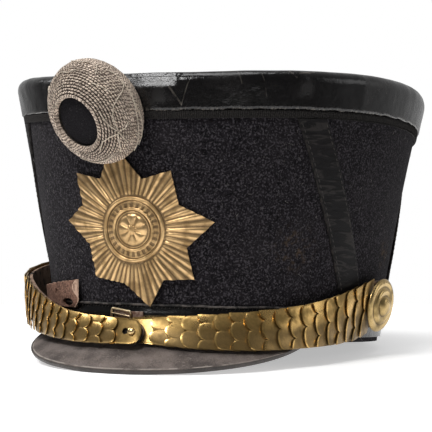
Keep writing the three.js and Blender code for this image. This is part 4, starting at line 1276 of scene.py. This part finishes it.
chain_leather, shade = new_finish("chain_leather")
pores = shade.grain(1400, 3)
hide = (pores * 0.5 + shade.grain(130, 4) * 0.5).between(0.36, 0.64)
dark = hide.blend((0.0060, 0.0052, 0.0048), (0.0190, 0.0155, 0.0135))
cut_edge = shade.own("cut") * shade.grain(240, 3).between(0.30, 0.52)
shade.surface({
    "Base Color": cut_edge.blend(dark, hide.blend((0.20, 0.125, 0.085), (0.40, 0.275, 0.20))),
    "Roughness": 0.68,
    "Specular IOR Level": 0.15,
    "Normal": shade.bump(pores, 0.0004, 0.7),
})
courses = {"right": Course(RIGHT_COURSE, 1), "left": Course(LEFT_COURSE, -1)}
chain_profile = bar(0, 1, 0, 1, 0.16, 6)
for word, course in courses.items():
    def chain_strap_place(u, across, thick):
        from_end = min(u, 1 - u) * course.length
        narrow = max(0, 1 - from_end / CHAIN_TAPER)
        inset = mix(CHAIN_INSET, CHAIN_END_INSET, 1 - math.sqrt(1 - narrow * narrow))
        inset -= 0.03 if word == "left" else 0
        return course.place(u * course.length, mix(inset, 1 - inset, across), thick * CHAIN_LEATHER)
    eased = [(a * 0.5 + 0.5 * soft_step(0, 1, a), t) for a, t in chain_profile]
    strip = loft(CHAIN_COLUMNS, eased, chain_strap_place, False)
    strap_mesh = to_mesh("chin_strap_%s_leather" % word, *strip)
    mark(strap_mesh, "cut", [float(a > 0.9) for _ in range(CHAIN_COLUMNS + 1) for a, t in chain_profile])
    show(tidy_mesh(strap_mesh), chain_leather, ["chin_strap_" + word])


# Rosettes: round brass bosses, spun in steps, that cover the ends of the straps. A post
# behind each goes through the strap into the side of the hat.
ROSETTE, ROSETTE_FROM_END, ROSETTE_POST, POST_TALL = 14.7, 12.5, 5.5, 2.8
ROSETTE_RINGS = [  # inset from the edge, height over the underside, how rubbed
    (0.5, 0, 0.2), (0, 0.35, 0.7), (0, 0.9, 0.9), (0.5, 1.5, 1), (1.2, 2.0, 1), (2.2, 2.2, 0.9),
    (3.4, 2.05, 0.55), (4.2, 1.9, 0.2), (4.7, 2.2, 0.6), (5.1, 2.9, 0.95), (5.8, 3.4, 1), (6.8, 3.5, 0.9),
    (8.0, 3.25, 0.6), (8.9, 3.0, 0.15), (9.3, 3.3, 0.5), (9.6, 4.2, 0.9), (10.3, 4.9, 1),
    (11.6, 5.3, 0.95), (13.2, 5.55, 0.9), (14.69, 5.6, 0.9)]


def turned(name, profile, foot, axis, segments):
    """A turned piece from (radius, height, how rubbed) rows, standing on a point along an axis."""
    side = axis.orthogonal().normalized()
    other = axis.cross(side)

    def place(u, radius, height):
        ray = math.cos(u * math.tau) * side + math.sin(u * math.tau) * other
        return foot + (ray * radius + axis * height) * MM
    points, faces, corners = loft(segments, [p[:2] for p in profile], place, True)
    mesh = to_mesh(name, points, faces, corners)
    mark(mesh, "ridge", [p[2] for _ in range(segments) for p in profile])
    return tidy_mesh(mesh, 70)


chain_brass = brass(
    "chain_brass", (0.60, 0.43, 0.190), (0.22, 0.155, 0.062), (0.055, 0.039, 0.019), 95, 0.9, 0.18)
rosette_rows = [(0.01, GAP, 0), (ROSETTE_POST, GAP, 0), (ROSETTE_POST, POST_TALL, 0)]
rosette_rows += [(ROSETTE - inset, POST_TALL + tall, rub) for inset, tall, rub in ROSETTE_RINGS]
for word, course in courses.items():
    seat = course.seat(ROSETTE_FROM_END, CHAIN_LEATHER)
    boss = turned("rosette_%s_boss" % word, rosette_rows, *seat, 72)
    show(boss, chain_brass, ["rosette_" + word])


# Scales: thin brass plates, stamped with domed lobes, that overlap like a fish's skin from
# each rosette towards the front. Their free edges are kept bright, partly rubbed and partly a
# painted highlight, and the lower half of each scale is painted darker as shade.
PLATE, SCALE_LOBE, SCALE_OVERLAP, SCALE_GAP, SCALE_BULGE = 0.6, 3.2, 4.6, 0.5, 0.8
SCALE_COUNTS = {"right": 17, "left": 19}
END_LENGTHS = {"right": 12.4, "left": 13.5}
FIRST_SCALE = ROSETTE_FROM_END + ROSETTE_POST + 2 * GAP
SHINGLE = PLATE + SCALE_GAP


def lobes(v, aside):
    return math.sqrt(max(0, 1 - (4 * ((v + aside) % 0.5) - 1) ** 2))


def two_sided(columns, rows):
    """The faces of a plate: its front grid of points, its back grid, and the edge between them."""
    size = (columns + 1) * (rows + 1)
    faces = []
    for i in range(columns):
        for k in range(rows):
            a = i * (rows + 1) + k
            b = a + rows + 1
            faces += [(a, b, b + 1, a + 1), (size + a, size + a + 1, size + b + 1, size + b)]
    border = [(i * (rows + 1), (i + 1) * (rows + 1)) for i in range(columns)]
    border += [(i * (rows + 1) + rows, (i + 1) * (rows + 1) + rows) for i in range(columns)]
    border += [(k, k + 1) for k in range(rows)]
    border += [(columns * (rows + 1) + k, columns * (rows + 1) + k + 1) for k in range(rows)]
    return faces + [(a, b, size + b, size + a) for a, b in border]


def scale_unit(pitch, aside):
    """One scale laid flat: x along the chain, y a share of its width, z over the strap."""
    columns, rows = 14, 40
    points, ridge_values = [], []
    for side in (1, 0):
        for i in range(columns + 1):
            u = (i / columns) ** 0.8
            for k in range(rows + 1):
                v = k / rows
                dome = lobes(v, aside)
                reach = u * (pitch + SCALE_OVERLAP - SCALE_LOBE * (1 - dome))
                height = CHAIN_LEATHER + GAP + SHINGLE * reach / pitch
                height += SCALE_BULGE * u * dome * 0.45 + 1.1 * (math.sqrt(1 - (2 * v - 1) ** 2 * 0.9) - 0.5)
                tip = soft_step(0.90, 1.0, u)
                height += side * (PLATE - 0.15 * tip * tip)
                points.append((reach * MM, v - 0.5, height * MM))
                # Painted shade: the ridge value is low on the lower half of each scale, which takes the dark
                # groove colour, and high on the upper half. The free edge is kept high, partly as rubbed wear
                # and partly as a painted highlight.
                ridge_values.append(max(side * (0.06 + 0.46 * soft_step(0.25, 0.8, v)), soft_step(0.92, 0.97, u)))
    mesh = to_mesh("scale", points, two_sided(columns, rows))
    mark(mesh, "ridge", ridge_values)
    return mesh


# Its groove colour is also the painted shade on the lower half of each scale.
scale_brass = brass(
    "scale_brass", (0.70, 0.455, 0.165), (0.220, 0.145, 0.048), (0.125, 0.080, 0.030), 120, 0.9, 0.14)
chain_ends = {}
for word, course in courses.items():
    count = SCALE_COUNTS[word]
    pitch = (course.length - END_LENGTHS[word] - FIRST_SCALE - SCALE_OVERLAP) / count
    chain_ends[word] = (FIRST_SCALE + count * pitch, pitch)
    strap_sheet = course.sheet()
    halves = []
    for odd in (0, 1):
        begin = (FIRST_SCALE + odd * pitch) * MM
        halves.append(row(
            "scales", scale_unit(pitch, 0.25 * odd), strap_sheet, (count + 1 - odd) // 2,
            (begin, 0, 0), (2 * pitch * MM, 0, 0), course.length * MM, 1.0, scale_brass))
    chain = tidy_mesh(joined("chin_scales_" + word, halves), 50)
    show(chain, scale_brass, ["chin_scale_%s_%02d" % (word, n + 1) for n in range(count)])


# Ends of the chain: the right half ends in a plain brass tongue, and the left half in a
# rounded plate that laps over it, with a hole and a domed stud that fastens the two.
END_SEAT, END_ROUND, TONGUE_ROUND = 0.5, 5, 2
HOLE_ALONG, HOLE_RADIUS, STUD_ALONG = 9.2, 1.7, 12.6


def end_plate(name, word, round_by):
    course = courses[word]
    begin, pitch = chain_ends[word]
    length = END_LENGTHS[word] + SCALE_OVERLAP - GAP
    columns, rows = 46, 36
    points, ridge_values = [], []
    for side in (1, 0):
        for i in range(columns + 1):
            for k in range(rows + 1):
                y = 2 * k / rows - 1
                end_x = length - round_by + round_by * math.sqrt(max(0, 1 - y * y))
                x = end_x * i / columns
                rim = max(soft_step(end_x - 1.4, end_x - 0.4, x), soft_step(0.88, 0.96, abs(y)))
                lip = soft_step(end_x - 0.35, end_x, x)
                height = CHAIN_LEATHER + END_SEAT + SHINGLE * min(x / pitch, 0.5)
                height += side * (PLATE - 0.2 * lip) + 0.22 * rim * side
                points.append(course.place(begin + x, 0.5 + y / 2, height))
                ridge_values.append(side * (0.3 + 0.7 * rim))
    mesh = to_mesh(name, points, two_sided(columns, rows))
    mark(mesh, "ridge", ridge_values)
    return tidy_mesh(mesh, 40)


def punched(mesh, pins):
    """A mesh with a hole wherever a pin passes through it."""
    blank = bpy.data.objects.new("blank", mesh)
    things = [blank] + [bpy.data.objects.new("pin", pin) for pin in pins]
    for thing in things:
        bpy.context.scene.collection.objects.link(thing)
    for pin in things[1:]:
        hole = blank.modifiers.new("hole", "BOOLEAN")
        hole.operation = "DIFFERENCE"
        hole.object = pin
    bpy.context.view_layer.update()
    cut = bpy.data.meshes.new_from_object(blank.evaluated_get(bpy.context.evaluated_depsgraph_get()))
    cut.name = mesh.name
    for thing in things:
        bpy.data.objects.remove(thing)
    cut.materials.clear()
    cut.shade_smooth()
    cut.set_sharp_from_angle(angle=math.radians(40))
    return cut


tongue = end_plate("chin_tongue", "right", TONGUE_ROUND)
show(tongue, scale_brass, ["chin_tongue_plate"])
begin, pitch = chain_ends["left"]
pin_rows = [(0.01, -1, 0), (HOLE_RADIUS, -1, 0), (HOLE_RADIUS, 5, 0), (0.01, 5, 0)]
pin = turned("pin", pin_rows, *courses["left"].seat(begin + HOLE_ALONG, CHAIN_LEATHER), 28)
lap_plate = punched(end_plate("chin_lap_plate", "left", END_ROUND), [pin])
show(lap_plate, scale_brass, ["chin_end_plate"])
stud_height = CHAIN_LEATHER + END_SEAT + SHINGLE * 0.5 + PLATE + GAP
stud_rows = [(0.01, -0.25, 0), (1.7, -0.25, 0.2), (2.1, 0.1, 0.6), (2.08, 0.5, 0.9), (1.85, 0.95, 1),
             (1.4, 1.3, 1), (0.8, 1.52, 1), (0.01, 1.6, 1)]
stud = turned("chin_stud_head", stud_rows, *courses["left"].seat(begin + STUD_ALONG, stud_height), 36)
stud_brass = brass("stud_brass", (0.70, 0.50, 0.24), (0.42, 0.29, 0.13), (0.10, 0.07, 0.03), 300, 0.4, 0.2)
show(stud, stud_brass, ["chin_stud"])


# Tie tab: a torn strip of rough brown leather behind the left half of the chain. Its cut
# edges show the paler core, and it is punched with a round hole and a slit.
TAB_FROM, TAB_TO, TAB_LOW, TAB_HIGH_FROM, TAB_HIGH_TO = -50, -23.2, 14.5, 25, 29
TAB_THICK, TAB_OUT, TAB_TORN, TAB_WAVES, TAB_WAVE_START = 1.6, 1.9, 2.2, 1.2, -0.36
TAB_HOLES = [(-36.2, 22.6, 1.5, 1.5), (-28.4, 17.2, 5.2, 2.0)]  # angle, height, half width, half height


def tab_place(u, v, w):
    ragged = 0.45 * ripple(1.9, u * 40, v * 14, 0) + 0.25 * ripple(0.8, u * 40, v * 14, 4)
    torn = u * TAB_TORN * math.cos(math.tau * (TAB_WAVE_START + v * TAB_WAVES))
    torn += ragged * soft_step(0.9, 1, u)
    z = mix(TAB_LOW, mix(TAB_HIGH_FROM, TAB_HIGH_TO, u) + ragged * soft_step(0.9, 1, v), v)
    angle = math.radians(mix(TAB_FROM, TAB_TO, u)) + torn / half_width(z)
    rough = 0.16 * ripple(3, u * 42, v * 14, 9) * w
    return wall(angle, z, TAB_OUT + w * TAB_THICK + rough)


tab_profile = bar(0, 1, 0, 1, 0.08, 18)
tab = tidy_mesh(to_mesh("tie_tab_leather", *loft(54, tab_profile, tab_place, False)), 40)
pins = []
for degrees, z, half_x, half_z in TAB_HOLES:
    def punch_place(u, radius, out):
        x = half_x * radius * math.cos(u * math.tau)
        y = half_z * radius * math.sin(u * math.tau)
        return wall(math.radians(degrees) + x / half_width(z), z + y, out)
    pin = loft(28, [(0.01, 0.5), (1, 0.5), (1, 5), (0.01, 5)], punch_place, True)
    pins.append(tidy_mesh(to_mesh("pin", *pin)))
tab_mesh = punched(tab, pins)

tab_leather, shade = new_finish("tab_leather")
nubs = shade.grain(950, 3)
blotch = shade.grain(160, 4)
hide = (nubs * 0.6 + blotch * 0.4).between(0.36, 0.64)
side = shade.uv("Y")
ends = shade.uv("X")
rim = side.between(0.90, 0.95) + ends.between(0.975, 0.992)
core = rim * shade.grain(420, 3).between(0.30, 0.50)
shade.surface({
    "Base Color": core.blend(hide.blend((0.075, 0.038, 0.026), (0.25, 0.135, 0.094)), (0.48, 0.32, 0.235)),
    "Roughness": 0.85,
    "Specular IOR Level": 0.25,
    "Normal": shade.bump(nubs + blotch * 0.6, 0.0007, 0.9),
})
show(tab_mesh, tab_leather, ["tie_tab"])


# Buckle: a small frame of bent brass wire with a prong, on a short strap of pale leather that
# is sewn to the base band behind the star's lowest point.
BUCKLE_ANGLE, BUCKLE_HEIGHT, BUCKLE_TURN = math.radians(-3.7), 11.9, math.radians(-8.4)
BUCKLE_WIDE, BUCKLE_TALL, BUCKLE_WIRE = 12.2, 6.4, 0.62
BUCKLE_STRAP_FROM, BUCKLE_STRAP_TO, BUCKLE_STRAP_TALL, BUCKLE_STRAP_THICK = -6.5, 3.8, 3.8, 1.2
BUCKLE_OUT = GAP + BAND_THICK + GAP


def buckle_strap_place(u, across, thick):
    angle = math.radians(mix(BUCKLE_STRAP_FROM, BUCKLE_STRAP_TO, u))
    rough = 0.1 * ripple(3, u * 18, across * 4, thick) * thick
    z = BUCKLE_HEIGHT + across * BUCKLE_STRAP_TALL
    return wall(angle, z, BUCKLE_OUT + thick * BUCKLE_STRAP_THICK + rough)


strip = loft(40, bar(-0.5, 0.5, 0, 1, 0.12, 6), buckle_strap_place, False)
pale_leather, shade = new_finish("pale_leather")
hide = (shade.grain(700, 4) * 0.6 + shade.grain(200, 3) * 0.4).between(0.38, 0.62)
shade.surface({
    "Base Color": hide.blend((0.17, 0.085, 0.055), (0.46, 0.34, 0.27)),
    "Roughness": 0.7,
    "Normal": shade.bump(shade.grain(1200, 3), 0.0004, 0.7),
})
show(tidy_mesh(to_mesh("buckle_strap_leather", *strip)), pale_leather, ["buckle_strap"])


def on_buckle(x, y, lift):
    turn_x = x * math.cos(BUCKLE_TURN) - y * math.sin(BUCKLE_TURN)
    turn_z = BUCKLE_HEIGHT + x * math.sin(BUCKLE_TURN) + y * math.cos(BUCKLE_TURN)
    out = BUCKLE_OUT + BUCKLE_STRAP_THICK + GAP + BUCKLE_WIRE + lift
    return wall(BUCKLE_ANGLE + turn_x / half_width(turn_z), turn_z, out)


buckle_brass, shade = new_finish("buckle_brass")
cloud = shade.grain(420, 3)
shade.surface({
    "Base Color": cloud.between(0.40, 0.66).blend((0.78, 0.64, 0.42), (0.42, 0.31, 0.17)),
    "Metallic": 0.92,
    "Roughness": cloud * 0.3 + 0.2,
    "Normal": shade.bump(cloud, 0.0002, 0.6),
})
half_x, half_y, bend = BUCKLE_WIDE / 2 - BUCKLE_WIRE, BUCKLE_TALL / 2 - BUCKLE_WIRE, 1.1
frame_line = []
for corner, (sign_x, sign_y) in enumerate(((1, 1), (-1, 1), (-1, -1), (1, -1))):
    for k in range(7):
        turn = corner * math.pi / 2 + k * math.pi / 12
        frame_line.append(on_buckle(sign_x * (half_x - bend) + bend * math.cos(turn),
                                    sign_y * (half_y - bend) + bend * math.sin(turn), 0))
prong_line = [on_buckle(mix(-half_x, half_x, k / 12), 0, 0.25 * math.sin(math.pi * k / 12))
              for k in range(13)]
wire = joined("buckle_wire", [
    cords("wire", [frame_line], BUCKLE_WIRE, 10, buckle_brass, True),
    cords("prong", [prong_line], 0.45, 8, buckle_brass)])
show(tidy_mesh(wire), buckle_brass, ["buckle_frame"])
